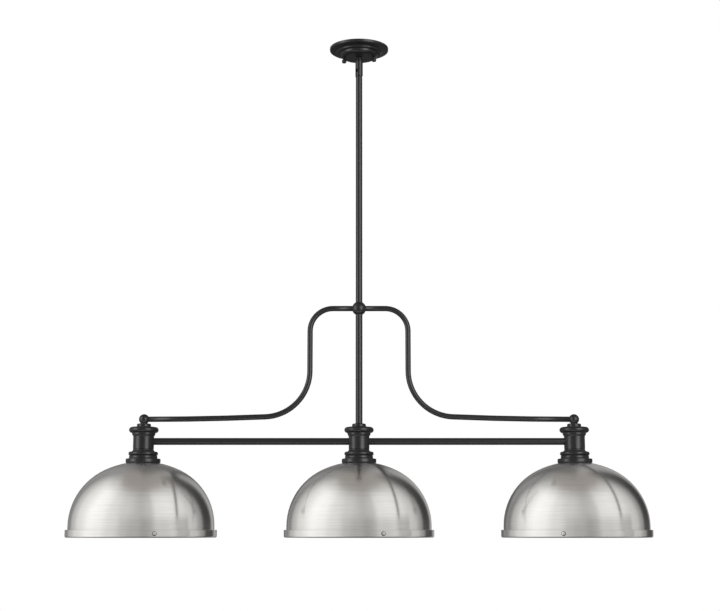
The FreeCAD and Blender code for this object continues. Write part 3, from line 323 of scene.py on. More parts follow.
def revolve(corners, columns=128, edge=0.3, closed=True):
    """A surface of revolution as (points, faces, map).  A point of the outline at radius r and
    height h is carried round the axis: x = r cos a, y = r sin a, z = h.  The map holds the
    share of a turn and the length along the outline, in metres."""
    line = traced(corners, closed)
    line = (eased(line, edge) if closed else line) * MM
    radius, height = line[:, 0], line[:, 1]
    rows = len(line)
    angle = np.arange(columns) * 2 * math.pi / columns
    points = np.stack((radius[:, None] * np.cos(angle), radius[:, None] * np.sin(angle),
                       np.repeat(height[:, None], columns, axis=1)), axis=-1).reshape(-1, 3)
    number = np.arange(rows * columns).reshape(rows, columns)
    pole = radius < 1e-9
    number[pole] = number[pole][:, :1]
    length = np.concatenate(([0.0], np.cumsum(np.hypot(*np.diff(line, axis=0).T))))
    faces, corners_map = [], []
    column = np.arange(columns)
    for row in range(rows if closed else rows - 1):
        above = (row + 1) % rows
        if pole[row] and pole[above]:
            continue
        ring = [(row, 0), (row, 1), (above, 1), (above, 0)]
        if pole[row]:
            ring.pop(1)
        elif pole[above]:
            ring.pop(2)
        last = length[row] + np.hypot(*(line[above] - line[row]))
        faces += np.stack([number[r][(column + c) % columns] for r, c in ring], axis=1).tolist()
        corners_map.append(np.stack([np.stack(((column + c) / columns, np.full(
            columns, length[row] if r == row else last)), axis=1) for r, c in ring],
            axis=1).reshape(-1, 2))
    return points, faces, np.concatenate(corners_map)


def moved(surface, shift=(0.0, 0.0, 0.0), turn=None):
    """A surface turned by a 3 by 3 matrix and then shifted."""
    points, faces, corner_map = surface
    if turn is not None:
        points = points @ np.array(turn).T
    return points + np.array(shift), faces, corner_map


def about_z(degrees):
    """The matrix of a turn about the upright axis."""
    cosine, sine = math.cos(math.radians(degrees)), math.sin(math.radians(degrees))
    return np.array(((cosine, -sine, 0.0), (sine, cosine, 0.0), (0.0, 0.0, 1.0)))


# the matrix that lays an upright piece down along +X
LYING = np.array(((0.0, 0.0, 1.0), (0.0, 1.0, 0.0), (-1.0, 0.0, 0.0)))


def piece(name, surfaces, material, slot, body, nodes):
    """One object made of several surfaces, with its material and body, hiding its CAD nodes; a
    black_metal slot puts it among the black pieces.
    """
    points, faces, maps, start = [], [], [], 0
    for surface_points, surface_faces, surface_map in surfaces:
        points.append(surface_points)
        faces += [[start + corner for corner in face] for face in surface_faces]
        maps.append(surface_map)
        start += len(surface_points)
    used, compact = np.unique([c for face in faces for c in face], return_inverse=True)
    corners = iter(compact.tolist())
    faces = [[next(corners) for _ in face] for face in faces]
    mesh = bpy.data.meshes.new(name)
    mesh.from_pydata(np.concatenate(points)[used].tolist(), [], faces)
    mesh.shade_smooth()
    layer = mesh.uv_layers.new(name="turned")
    layer.data.foreach_set("uv", np.concatenate(maps).astype(np.float32).ravel())
    mesh.materials.append(material)
    thing = bpy.data.objects.new(name, mesh)
    bpy.context.scene.collection.objects.link(thing)
    if slot == "black_metal":
        black_pieces.objects.link(thing)
    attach(thing, body)
    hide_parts(*nodes)


def new_material(name, colour, roughness, metallic=0.0):
    """A material with a Principled shader; returns it with its node tree and the shader."""
    material = bpy.data.materials.new(name)
    material.use_nodes = True
    shader = material.node_tree.nodes["Principled BSDF"]
    shader.inputs["Base Color"].default_value = (*colour, 1.0)
    shader.inputs["Roughness"].default_value = roughness
    shader.inputs["Metallic"].default_value = metallic
    return material, material.node_tree, shader


def new_group(name, inputs, outputs):
    """An empty shader node group; inputs and outputs are (name, kind, default) and (name, kind)."""
    group = bpy.data.node_groups.new(name, "ShaderNodeTree")
    for label, kind, default in inputs:
        socket = group.interface.new_socket(label, in_out="INPUT", socket_type="NodeSocket" + kind)
        socket.default_value = default
    for label, kind in outputs:
        group.interface.new_socket(label, in_out="OUTPUT", socket_type="NodeSocket" + kind)
    return group, group.nodes.new("NodeGroupInput"), group.nodes.new("NodeGroupOutput")


def noise(tree, vector, scale, detail=3.0, roughness=0.5):
    """A Noise texture's level; the scale is a number or an output."""
    texture = tree.nodes.new("ShaderNodeTexNoise")
    texture.inputs["Detail"].default_value = detail
    texture.inputs["Roughness"].default_value = roughness
    tree.links.new(vector, texture.inputs["Vector"])
    if isinstance(scale, (int, float)):
        texture.inputs["Scale"].default_value = scale
    else:
        tree.links.new(scale, texture.inputs["Scale"])
    return texture.outputs["Fac"]


def between(tree, value, low, high):
    """Map a value from 0..1 to low..high, each a number or an output."""
    node = tree.nodes.new("ShaderNodeMapRange")
    for socket, limit in (("To Min", low), ("To Max", high)):
        if isinstance(limit, (int, float)):
            node.inputs[socket].default_value = limit
        else:
            tree.links.new(limit, node.inputs[socket])
    tree.links.new(value, node.inputs["Value"])
    return node.outputs["Result"]


def object_place(tree):
    """The place of a point in the piece's own metres."""
    return tree.nodes.new("ShaderNodeTexCoord").outputs["Object"]


# powder coat: fine round grain of the melted powder in its colour and surface, and faint clouds in
# its gloss
powder, powder_in, powder_out = new_group(
    "powder_coat",
    [("Dark", "Color", (0.02, 0.02, 0.02, 1.0)), ("Light", "Color", (0.03, 0.03, 0.03, 1.0)),
     ("Grain", "Float", 2600.0), ("Depth", "Float", 0.00002), ("Smooth", "Float", 0.36),
     ("Rough", "Float", 0.46)],
    [("Color", "Color"), ("Roughness", "Float"), ("Normal", "Vector")])
powder_place = object_place(powder)
powder_grain = noise(powder, powder_place, powder_in.outputs["Grain"], 2.0)
cloud_scale = 38.0
powder_clouds = noise(powder, powder_place, cloud_scale, 4.0)
powder_bump = powder.nodes.new("ShaderNodeBump")
powder.links.new(powder_in.outputs["Depth"], powder_bump.inputs["Distance"])
powder.links.new(powder_grain, powder_bump.inputs["Height"])
powder.links.new(powder_bump.outputs["Normal"], powder_out.inputs["Normal"])
powder.links.new(tinted(powder, powder_grain, powder_in.outputs["Dark"],
                        powder_in.outputs["Light"]), powder_out.inputs["Color"])
powder.links.new(between(powder, powder_clouds, powder_in.outputs["Smooth"],
                         powder_in.outputs["Rough"]), powder_out.inputs["Roughness"])


def surfaced(name, colour, metallic, group, values):
    """A material whose colour, roughness and normal come from a group with these inputs."""
    material, tree, shader = new_material(name, colour, values["Smooth"], metallic)
    source = tree.nodes.new("ShaderNodeGroup")
    source.node_tree = group
    for label, value in values.items():
        source.inputs[label].default_value = (*value, 1.0) if isinstance(value, tuple) else value
    connect(tree, source, "Color", shader, "Base Color")
    connect(tree, source, "Roughness", shader, "Roughness")
    connect(tree, source, "Normal", shader, "Normal")
    return material, tree, shader


def coated(name, dark, light, smooth, rough, grain=2600.0, depth=0.00002):
    """A powder-coated or glazed finish from the powder coat group."""
    return surfaced(name, dark, 0.0, powder, {
        "Dark": dark, "Light": light, "Grain": grain, "Depth": depth, "Smooth": smooth,
        "Rough": rough})[0]


black_coat = coated("satin_black_coat", (0.004, 0.004, 0.0042), (0.0075, 0.0075, 0.0078),
                    0.3, 0.35, 2200.0, 0.000005)
black_coat.node_tree.nodes["Principled BSDF"].inputs["Specular IOR Level"].default_value = 0.2

canopy_low, canopy_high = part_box("canopy")
canopy_radius = (canopy_high.x - canopy_low.x) / 2 / MM
canopy_depth = (canopy_high.z - canopy_low.z) / MM
sheet_wall, collar_hole = 1.5, 9.7
flat_radius, shoulder_level, shoulder_round = 36.0, 5.5, 11.9
foot, foot_level, foot_slope, foot_inset, foot_drop = 46.0, 10.0, 1.5, 1.28, 0.8
bead_out, bead_turn, hollow, hollow_level = 55.5, 3.0, 56.6, 15.0
rim_start, rim_turn, rim_fold = canopy_depth - 7.3, 2.2, 3.0
slant_wall = 1.35  # the sheet's wall, measured upright on the sloping flange
canopy_outline = [
    (collar_hole, 0.0), (flat_radius, 0.0, shoulder_round), (foot, shoulder_level),
    (foot + foot_slope, foot_level), (bead_out - bead_turn, foot_level, bead_turn),
    (bead_out, foot_level + bead_turn), (hollow, hollow_level),
    (canopy_radius - rim_turn, rim_start, rim_turn), (canopy_radius, rim_start + rim_turn),
    (canopy_radius, canopy_depth), (canopy_radius - rim_fold, canopy_depth),
    (canopy_radius - rim_fold, rim_start + slant_wall),
    (hollow - sheet_wall, hollow_level + slant_wall),
    (bead_out - sheet_wall, foot_level + bead_turn, sheet_wall - bead_turn),
    (bead_out - bead_turn, foot_level + sheet_wall), (foot, foot_level + sheet_wall),
    (foot - foot_inset, shoulder_level + foot_drop, sheet_wall - shoulder_round),
    (flat_radius, sheet_wall), (collar_hole, sheet_wall)]
piece("canopy_pan", [moved(revolve(canopy_outline, 160), (0.0, 0.0, canopy_low.z))],
      black_coat, "black_metal", "ceiling_mount", ["canopy"])


# --- Canopy knobs and their screws ----------------------------------------------------
# Two turned knobs with rounded ends, coated like the canopy.  Each runs on a zinc-plated
# screw that hangs from the canopy crossbar and comes out through the canopy's foot.
def threaded(surface, low, high, pitch, depth):
    """Cut a thread into the upright stretch from low to high, in millimetres: the radius
    drops by up to depth along a helix, r = r0 - depth (1 - cos(2 pi h / pitch - a)) / 2."""
    points, faces, corner_map = surface
    radius = np.hypot(points[:, 0], points[:, 1])
    angle = np.arctan2(points[:, 1], points[:, 0])
    phase = 2 * math.pi * points[:, 2] / (pitch * MM) - angle
    inside = (points[:, 2] > low * MM) & (points[:, 2] < high * MM) & (radius > 1e-6)
    drop = np.where(inside, depth * MM * (1 - np.cos(phase)) / 2, 0.0)
    scale = (radius - drop) / np.maximum(radius, 1e-9)
    points = points * np.stack((scale, scale, np.ones_like(scale)), axis=1)
    return points, faces, corner_map


def rungs(radius, low, high, pitch):
    """Outline points up a straight wall, six to each turn of a thread."""
    count = int((high - low) / pitch * 6) + 1
    return [(radius, height) for height in np.linspace(low, high, count)]


zinc, zinc_tree, zinc_shader = new_material("zinc_plate", (0.62, 0.63, 0.65), 0.36, 1.0)
zinc_place = object_place(zinc_tree)
zinc_spangle = noise(zinc_tree, zinc_place, 900.0, 4.0, 0.6)
zinc_tree.links.new(tinted(zinc_tree, zinc_spangle, (0.5, 0.51, 0.54), (0.74, 0.74, 0.73)),
                    zinc_shader.inputs["Base Color"])
zinc_tree.links.new(between(zinc_tree, zinc_spangle, 0.28, 0.46), zinc_shader.inputs["Roughness"])

knobs_low, knobs_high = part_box("canopy_knobs")
knob_height = (knobs_high.z - knobs_low.z) / MM
knob_radius, knob_round, knob_shoulder, knob_bore = 5.5, 2.2, 1.6, 2.05
boss_radius, boss_foot = knob_radius - knob_round, knob_height - 3.0
knob_turn = -8.5
knob_place = 37.5 * MM
knob_outline = [(0.0, 0.0), (boss_radius, 0.0, knob_round), (knob_radius, knob_round),
                (knob_radius, boss_foot - knob_shoulder, knob_shoulder),
                (knob_radius - knob_shoulder, boss_foot), (boss_radius, boss_foot),
                (boss_radius, knob_height), (knob_bore, knob_height), (knob_bore, knob_round),
                (0.0, knob_round)]
screws_low, screws_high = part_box("canopy_screws")
screw_radius, screw_head, screw_head_height = 2.0, 3.8, 1.6
screw_pitch, screw_thread_depth, thread_start = 0.8, 0.35, 0.4
screw_length = (screws_high.z - screws_low.z) / MM - screw_head_height
screw_thread_end = screw_length - 1.0
screw_outline = [(0.0, 0.0), *rungs(screw_radius, thread_start, screw_thread_end, screw_pitch),
                 (screw_radius, screw_length), (screw_head, screw_length),
                 (screw_head, screw_length + screw_head_height / 2),
                 (screw_head - screw_head_height / 2, screw_length + screw_head_height),
                 (0.0, screw_length + screw_head_height)]
knobs, canopy_screws = [], []
for side in (-1, 1):
    spot = about_z(knob_turn) @ np.array((knob_place * side, 0.0, 0.0))
    knobs.append(moved(revolve(knob_outline, 96), spot + (0.0, 0.0, knobs_low.z)))
    screw = threaded(revolve(screw_outline, 32, 0.1), thread_start, screw_thread_end,
                     screw_pitch, screw_thread_depth)
    canopy_screws.append(moved(screw, spot + (0.0, 0.0, screws_low.z)))
piece("canopy_knob_pair", knobs, black_coat, "black_metal", "ceiling_mount", ["canopy_knobs"])
piece("canopy_screw_pair", canopy_screws, zinc, "zinc_steel", "ceiling_mount", ["canopy_screws"])


# --- Crossbars, nipple, nuts and wiring over the canopy -------------------------------
# Two punched steel straps on a threaded nipple, with the green ground screw and the three
# leads that turn over into their twist-on connectors.  They hide inside the canopy.
def finish(names, material):
    """Give carried-over CAD nodes a finish of their own."""
    for name in names:
        node = frame["nodes"][name]
        node.material_slots[0].material = material
        if material is black_coat:
            black_pieces.objects.link(node)


finish(["box_crossbar", "canopy_crossbar", "nipple_nuts", "mount_nipple"], zinc)

green_screw = coated("green_screw_dye", (0.02, 0.14, 0.045), (0.03, 0.2, 0.065), 0.28, 0.4)
green_screw.node_tree.nodes["Principled BSDF"].inputs["Metallic"].default_value = 0.6
finish(["ground_screw"], green_screw)

connector_plastic = coated("connector_plastic", (0.5, 0.045, 0.02), (0.58, 0.06, 0.03), 0.34, 0.44)
finish(["wire_connectors"], connector_plastic)

# one lead each in black, white and green, told apart by the side on which it lies
leads_coat, leads_tree, leads_shader = new_material("lead_insulation", (0.02, 0.02, 0.02), 0.42)
lead_side = leads_tree.nodes.new("ShaderNodeSeparateXYZ")
leads_tree.links.new(object_place(leads_tree), lead_side.inputs["Vector"])
on_left = calculate(leads_tree, "LESS_THAN", lead_side.outputs["X"], 0.0)
in_front = calculate(leads_tree, "LESS_THAN", lead_side.outputs["Y"], 0.0)
lead_pair = tinted(leads_tree, on_left, (0.022, 0.022, 0.022), (0.78, 0.77, 0.74))
leads_tree.links.new(tinted(leads_tree, in_front, lead_pair, (0.03, 0.22, 0.07)),
                     leads_shader.inputs["Base Color"])
lead_gloss = noise(leads_tree, object_place(leads_tree), 160.0)
leads_tree.links.new(between(leads_tree, lead_gloss, 0.34, 0.5), leads_shader.inputs["Roughness"])
finish(["supply_leads"], leads_coat)


# --- Swivel ---------------------------------------------------------------------------
# A forked collar on the nipple, a flat tongue on top of the rod and a plain pin through
# both, milled from bar and coated black, so that the rod hangs plumb.
finish(["swivel_fork", "swivel_pin", "swivel_tongue"], black_coat)


# --- Hanging rod, middle ball and stem ------------------------------------------------
# Steel tubes screwed into a turned ball, all coated black.  The upper tube carries the
# whole light from the swivel, and the lower one runs on down to the middle column.
tube_wall = 2.0


def ball_edge(ball_radius, hole):
    """How far above a ball's middle the mouth of an upright hole lies."""
    return math.sqrt(ball_radius ** 2 - hole ** 2)


def tube_outline(radius, length):
    """A tube's wall, from its foot at height 0."""
    return [(radius - tube_wall, 0.0), (radius, 0.0), (radius, length),
            (radius - tube_wall, length)]


for name, node in (("hanging_rod", "downrod"), ("stem_tube", "lower_stem")):
    low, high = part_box(node)
    tube = revolve(tube_outline((high.x - low.x) / 2 / MM, (high.z - low.z) / MM), 72)
    piece(name, [moved(tube, (0.0, 0.0, low.z))], black_coat, "black_metal", "fixture", [node])

ball_low, ball_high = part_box("centre_ball")
hub_radius = (ball_high.y - ball_low.y) / 2 / MM
rod_hole, stem_hole, lead_hole, hole_floor = 8.05, 8.3, 4.0, 6.0
hub_level = ball_high.z - ball_edge(hub_radius, rod_hole) * MM
hub_outline = [(stem_hole, -ball_edge(hub_radius, stem_hole), hub_radius),
               (hub_radius, 0.0, hub_radius), (rod_hole, ball_edge(hub_radius, rod_hole)),
               (rod_hole, hole_floor), (lead_hole, hole_floor), (lead_hole, -hole_floor),
               (stem_hole, -hole_floor)]
piece("middle_ball", [moved(revolve(hub_outline, 96), (0.0, 0.0, hub_level))], black_coat,
      "black_metal", "fixture", ["centre_ball"])


# --- Bent arms ------------------------------------------------------------------------
# One steel tube each, bent cold on formers: level out of the ball, down, out again and
# then nearly level to the ball on the end column.
def pipe(route, radius, columns=48):
    """A round tube along a route in the XZ plane, in millimetres: each ring's points lie at
    p + r (n cos a - y sin a), where n is the route's own normal at p."""
    ahead = np.gradient(route, axis=0)
    ahead /= np.hypot(*ahead.T)[:, None]
    angle = np.arange(columns) * 2 * math.pi / columns
    rows = len(route)
    normal = np.stack((-ahead[:, 1], np.zeros(rows), ahead[:, 0]), axis=1)
    centre = np.stack((route[:, 0], np.zeros(rows), route[:, 1]), axis=1)
    points = (centre[:, None] + radius * (normal[:, None] * np.cos(angle)[None, :, None]
              - np.array((0.0, 1.0, 0.0)) * np.sin(angle)[None, :, None])).reshape(-1, 3) * MM
    number = np.arange(rows * columns).reshape(rows, columns)
    following = np.roll(number, -1, axis=1)
    faces = np.stack((number[:-1], following[:-1], following[1:], number[1:]),
                     axis=-1).reshape(-1, 4).tolist()
    faces += [number[0][::-1].tolist(), number[-1].tolist()]
    length = np.concatenate(([0.0], np.cumsum(np.hypot(*np.diff(route, axis=0).T)))) * MM
    share = np.arange(columns + 1) / columns
    u, v = np.meshgrid(share, length)
    grid = np.stack((u, v), axis=-1)
    corner_map = np.stack((grid[:-1, :-1], grid[:-1, 1:], grid[1:, 1:], grid[1:, :-1]),
                          axis=2).reshape(-1, 2)
    caps = np.zeros((2 * columns, 2))
    return points, faces, np.concatenate((corner_map, caps))


arm_low, arm_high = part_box("arm_right")
arm_radius = (arm_high.y - arm_low.y) / 2 / MM
arm_start, arm_end = arm_low.x / MM, arm_high.x / MM
arm_fall = (arm_high.z - arm_low.z) / MM - 2 * arm_radius
leg_place, high_bend, low_bend = 117.8, 55.0, 110.0
droop = 0.042  # the slope of the outer stretch where it starts
slant = math.hypot(1.0, droop)
sweep_start = leg_place + low_bend - low_bend * droop / slant
sweep_run = arm_end - sweep_start
sweep_rise = sweep_run * (slant - 1.0) / droop
arm_corners = [(arm_start, arm_fall), (leg_place - high_bend, arm_fall, -high_bend),
               (leg_place, arm_fall - high_bend),
               (leg_place, sweep_rise + low_bend / slant, low_bend),
               (sweep_start, sweep_rise, sweep_run * slant / droop), (arm_end, 0.0)]
arm_route = traced(arm_corners, closed=False)
sides = (("left", -1), ("right", 1))
for name, side in sides:
    arm = pipe(arm_route, arm_radius)
    piece("bent_arm_" + name, [moved(arm, (0.0, 0.0, arm_low.z + arm_radius * MM),
                                     about_z(0 if side > 0 else 180))],
          black_coat, "black_metal", "fixture", ["arm_" + name])


# --- End balls and level bars ---------------------------------------------------------
# A turned ball on a short neck closes each arm's end, and its stud runs down through the
# column's top.  A steel bar ties each pair of columns together.
right_low, right_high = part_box("column_body_right")
lamp_spacing = (right_low.x + right_high.x) / 2
neck, neck_drop, stud_radius = 8.3, 10.5, 4.0
stud_thread, stud_pitch, stud_thread_depth = 24.0, 1.25, 0.5
for name, side in sides:
    low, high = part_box("end_ball_" + name)
    ball_radius = (high.y - low.y) / 2 / MM
    ball_rise = (high.z - low.z) / MM - ball_radius
    neck_foot = ball_rise - neck_drop
    ball_outline = [(0.0, 0.0), *rungs(stud_radius, thread_start, stud_thread, stud_pitch),
                    (stud_radius, neck_foot), (neck, neck_foot),
                    (neck, ball_rise - ball_edge(ball_radius, neck), ball_radius),
                    (ball_radius, ball_rise, ball_radius), (0.0, ball_rise + ball_radius)]
    ball = threaded(revolve(ball_outline, 72, 0.2), thread_start, stud_thread, stud_pitch,
                    stud_thread_depth)
    piece("arm_ball_" + name, [moved(ball, (lamp_spacing * side, 0.0, low.z))], black_coat,
          "black_metal", "fixture", ["end_ball_" + name])

    low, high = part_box("bar_" + name)
    bar = revolve(tube_outline((high.y - low.y) / 2 / MM, (high.x - low.x) / MM), 72)
    bar_level = (low.z + high.z) / 2
    piece("level_bar_" + name, [moved(bar, (low.x, 0.0, bar_level), LYING)], black_coat,
          "black_metal", "fixture", ["bar_" + name])


# --- Columns --------------------------------------------------------------------------
# Three turned stacks: a small disc, a rolled flange on its ring, the column body with its
# bead, and the holder that seats the shade.  Clamped on a nipple and coated black.
stud_hole, nipple_hole = 4.05, 5.05
lamps = (("left", -1), ("centre", 0), ("right", 1))


def lamp_piece(label, node, outline, material, slot, columns=144, edge=0.3):
    """A piece turned on each lamp's axis, from its CAD node's lowest level up."""
    for name, side in lamps:
        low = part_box("%s_%s" % (node, name))[0]
        surface = moved(revolve(outline, columns, edge), (lamp_spacing * side, 0.0, low.z))
        piece("%s_%s" % (label, name), [surface], material, slot, "fixture",
              ["%s_%s" % (node, name)])


disc_radius, disc_height, disc_round = 16.6, 7.0, 3.2
lamp_piece("top_disc", "column_disc", [
    (stud_hole, 0.0), (disc_radius, 0.0), (disc_radius, disc_height - disc_round, disc_round),
    (disc_radius - disc_round, disc_height), (stud_hole, disc_height)],
    black_coat, "black_metal", 96)

roll, ring_radius, ring_height, ring_edge = 6.8, 27.7, 5.6, 0.6
spigot_radius, spigot = 18.95, 3.0
flange_radius, flange_crown = 34.9, 1.2
roll_centre = flange_radius - roll
ring_top = ring_height + spigot
flange_top = ring_top + roll * 2 + flange_crown
lamp_piece("rolled_flange", "column_flange", [
    (stud_hole, 0.0), (spigot_radius, 0.0), (spigot_radius, spigot),
    (ring_radius - ring_edge * 2, spigot), (ring_radius - ring_edge, spigot + ring_edge),
    (ring_radius, ring_top - ring_edge), (roll_centre, ring_top, roll),
    (flange_radius, ring_top + roll, roll), (roll_centre, ring_top + roll * 2),
    (disc_radius, flange_top), (stud_hole, flange_top)], black_coat, "black_metal")

column_radius, column_height, column_bore, column_floor = 24.6, 48.8, 19.0, 8.2
bead_radius, bead_height, bead_inset = 34.8, 9.6, 2.0
bead_edge, bead_shelf, bead_bulge = 0.8, 0.4, 5.41
cove, cove_bend, groove_depth, groove_run = 4.8, 5.6, 0.8, 1.6
flare, flare_bend, lip_inset, lip_edge = 3.9, 7.0, 1.8, 0.6
bead_flat, lip_radius = bead_radius - bead_inset, ring_radius - lip_inset
groove, cove_top = column_radius - groove_depth, bead_height + cove
lamp_piece("turned_column", "column_body", [
    (nipple_hole, 0.0), (bead_flat - bead_edge, 0.0), (bead_flat, bead_edge, bead_bulge),
    (bead_flat, bead_height - bead_shelf), (column_radius + cove, bead_height, -cove_bend),
    (column_radius, cove_top), (groove, cove_top + groove_run * 0.2),
    (groove, cove_top + groove_run * 0.6), (column_radius, cove_top + groove_run),
    (column_radius, column_height - flare, -flare_bend), (lip_radius, column_height - lip_edge),
    (lip_radius - lip_edge, column_height), (column_bore, column_height),
    (column_bore, column_floor), (nipple_hole, column_floor)], black_coat, "black_metal")

holder_radius, holder_edge, holder_height, holder_lip = 41.0, 10.2, 17.3, 0.8
holder_waist, holder_wall, holder_boss, holder_floor = 33.2, 4.5, 11.0, 14.3
foot_round, edge_round, waist_round = 2.4, 1.8, 2.8
holder_hollow = holder_waist - holder_wall
lamp_piece("shade_seat", "shade_holder", [
    (nipple_hole, 0.0), (holder_boss, 0.0), (holder_boss, holder_floor),
    (holder_hollow, holder_floor), (holder_hollow, 0.0),
    (holder_radius - foot_round, 0.0, foot_round), (holder_radius, foot_round),
    (holder_radius, holder_edge - edge_round, edge_round),
    (holder_radius - edge_round, holder_edge),
    (holder_waist + waist_round, holder_edge, -waist_round),
    (holder_waist, holder_edge + waist_round), (holder_waist, holder_height - holder_lip),
    (holder_waist - holder_lip, holder_height), (nipple_hole, holder_height)],
    black_coat, "black_metal")


# --- Dome shades and rim bands --------------------------------------------------------
# Each dome is spun from one disc of nickel-plated steel and brushed while it turns, so the
# brush lines run round it.  A channel-shaped band closes the rim, held by three screws.
brushed, brushed_in, brushed_out = new_group(
    "turned_brush_lines",
    [("Dark", "Color", (0.5, 0.48, 0.45, 1.0)), ("Light", "Color", (0.8, 0.78, 0.74, 1.0)),
     ("Across", "Float", 420.0), ("Depth", "Float", 0.00001), ("Smooth", "Float", 0.2),
     ("Rough", "Float", 0.34), ("Line Place", "Float", 0.0), ("Line Width", "Float", 0.0),
     ("Line Level", "Float", 1.0)],
    [("Color", "Color"), ("Roughness", "Float"), ("Normal", "Vector")])
brush_map = brushed.nodes.new("ShaderNodeUVMap")
brush_map.uv_map = "turned"
brush_split = brushed.nodes.new("ShaderNodeSeparateXYZ")
connect(brushed, brush_map, "UV", brush_split, "Vector")
brush_angle = calculate(brushed, "MULTIPLY", brush_split.outputs["X"], 2 * math.pi)
brush_place = brushed.nodes.new("ShaderNodeCombineXYZ")
streak_turns = 1.3
for socket, operation in (("X", "COSINE"), ("Y", "SINE")):
    brushed.links.new(calculate(brushed, "MULTIPLY", calculate(brushed, operation, brush_angle),
                                streak_turns), brush_place.inputs[socket])
brushed.links.new(calculate(brushed, "MULTIPLY", brush_split.outputs["Y"],
                            brushed_in.outputs["Across"]), brush_place.inputs["Z"])
brush_lines = noise(brushed, brush_place.outputs[0], 1.0, 6.0, 0.72)
brush_contrast = between(brushed, brush_lines, -0.3, 1.3)
brush_bump = brushed.nodes.new("ShaderNodeBump")
brushed.links.new(brushed_in.outputs["Depth"], brush_bump.inputs["Distance"])
brushed.links.new(brush_lines, brush_bump.inputs["Height"])
brushed.links.new(brush_bump.outputs["Normal"], brushed_out.inputs["Normal"])
# one line round the piece is lighter or darker, at a place along its outline
on_line = calculate(brushed, "COMPARE", brush_split.outputs["Y"], brushed_in.outputs["Line Place"],
                    calculate(brushed, "MULTIPLY", brushed_in.outputs["Line Width"], 0.5))
line_share = between(brushed, on_line, 1.0, brushed_in.outputs["Line Level"])
lined = brushed.nodes.new("ShaderNodeVectorMath")
lined.operation = "SCALE"
brushed.links.new(tinted(brushed, brush_contrast, brushed_in.outputs["Dark"],
                         brushed_in.outputs["Light"]), lined.inputs["Vector"])
brushed.links.new(line_share, lined.inputs["Scale"])
connect(brushed, lined, "Vector", brushed_out, "Color")
brushed.links.new(between(brushed, brush_lines, brushed_in.outputs["Smooth"],
                          brushed_in.outputs["Rough"]), brushed_out.inputs["Roughness"])


def turned_metal(name, dark, light, smooth, rough, anisotropic, across=420.0, depth=0.00001,
                 line=(0.0, 0.0, 1.0)):
    """A metal finished by a brush or a tool while it turned.  A line of another level runs
    round it: (place and width along the outline in millimetres, level)."""
    line_place, line_width, line_level = line
    material, tree, shader = surfaced(name, light, 1.0, brushed, {
        "Dark": dark, "Light": light, "Across": across, "Depth": depth, "Smooth": smooth,
        "Rough": rough, "Line Place": line_place * MM, "Line Width": line_width * MM,
        "Line Level": line_level})
    shader.inputs["Anisotropic"].default_value = anisotropic
    shader.inputs["Anisotropic Rotation"].default_value = 0.25
    around = tree.nodes.new("ShaderNodeTangent")
    around.direction_type = "UV_MAP"
    around.uv_map = "turned"
    connect(tree, around, "Tangent", shader, "Tangent")
    return material


# a darker line is painted round the dome just above the band's top: painted shade in the joint
nickel_dark, nickel_light = (0.68, 0.665, 0.64), (0.86, 0.85, 0.825)
joint_shade_line = (12.7, 2.8, 0.8)
nickel = turned_metal("brushed_nickel_plate", nickel_dark, nickel_light, 0.16, 0.24, 0.88, 640.0,
                      0.000003, joint_shade_line)

dome_low, dome_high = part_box("dome_shade_centre")
dome_radius = (dome_high.y - dome_low.y) / 2 / MM
skirt, dome_wall, dome_flat, dome_rise, dome_oval = 25.1, 1.0, 38.0, 151.4, 0.3
side_bend = dome_rise - (dome_radius - dome_rise) * dome_oval
side_centre = dome_radius - side_bend
top_bend = (side_centre ** 2 + dome_rise ** 2 - side_bend ** 2) / (2 * (dome_rise - side_bend))
top_centre = dome_rise - top_bend


def dome_line(wall):
    """The dome's outline a wall's thickness in: skirt, side arc, top arc, flat at the middle."""
    share = (side_bend - wall) / (top_bend - side_bend)
    join = (side_centre * (1 + share), skirt - top_centre * share)
    top = top_centre + math.sqrt(top_bend ** 2 - dome_flat ** 2) - wall
    flat = math.sqrt((top_bend - wall) ** 2 - (top - top_centre) ** 2)
    return [(dome_radius - wall, 0.0), (dome_radius - wall, skirt, side_bend - wall),
            (*join, top_bend - wall), (flat, skirt + top), (nipple_hole, skirt + top)]


def reversed_outline(corners):
    """The same outline drawn the other way, so each bend moves on a corner and turns over."""
    bends = [corner[2] if len(corner) > 2 else None for corner in corners]
    result = []
    for number in range(len(corners) - 1, -1, -1):
        bend = bends[number - 1] if number else None
        result.append(corners[number][:2] + ((-bend,) if bend else ()))
    return result


dome_outline = dome_line(0.0) + reversed_outline(dome_line(dome_wall))
lamp_piece("spun_dome", "dome_shade", dome_outline, nickel, "brushed_nickel", 288, 0.2)

band_low, band_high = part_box("rim_band_centre")
band_radius = (band_high.y - band_low.y) / 2 / MM
band_height = (band_high.z - band_low.z) / MM
band_wall, band_round, band_lip, band_edge, band_gap = 1.5, 4.0, 12.0, 1.05, 0.05
shelf = dome_radius + band_gap
band_outline = [
    (band_radius - band_lip, 0.0), (band_radius - band_round, 0.0, band_round),
    (band_radius, band_round), (band_radius, band_height - band_edge, band_edge),
    (band_radius - band_edge, band_height), (shelf, band_height), (shelf, band_height - band_wall),
    (band_radius - band_wall, band_height - band_wall),
    (band_radius - band_wall, band_round, -(band_round - band_wall)),
    (band_radius - band_round, band_wall), (band_radius - band_lip, band_wall)]
# where along the outline the band's top edge lies, and a faintly darker line painted just below it:
# painted shade along the joint
band_top = band_lip - band_round + band_round * math.pi / 2 + band_height - band_round
band_shade_line = (band_top - 1.9, 2.2, 0.96)
band_nickel = turned_metal("band_nickel_plate", nickel_dark, nickel_light, 0.14, 0.22, 0.88,
                           640.0, 0.000003, band_shade_line)
lamp_piece("channel_band", "rim_band", band_outline, band_nickel, "brushed_nickel", 288, 0.25)


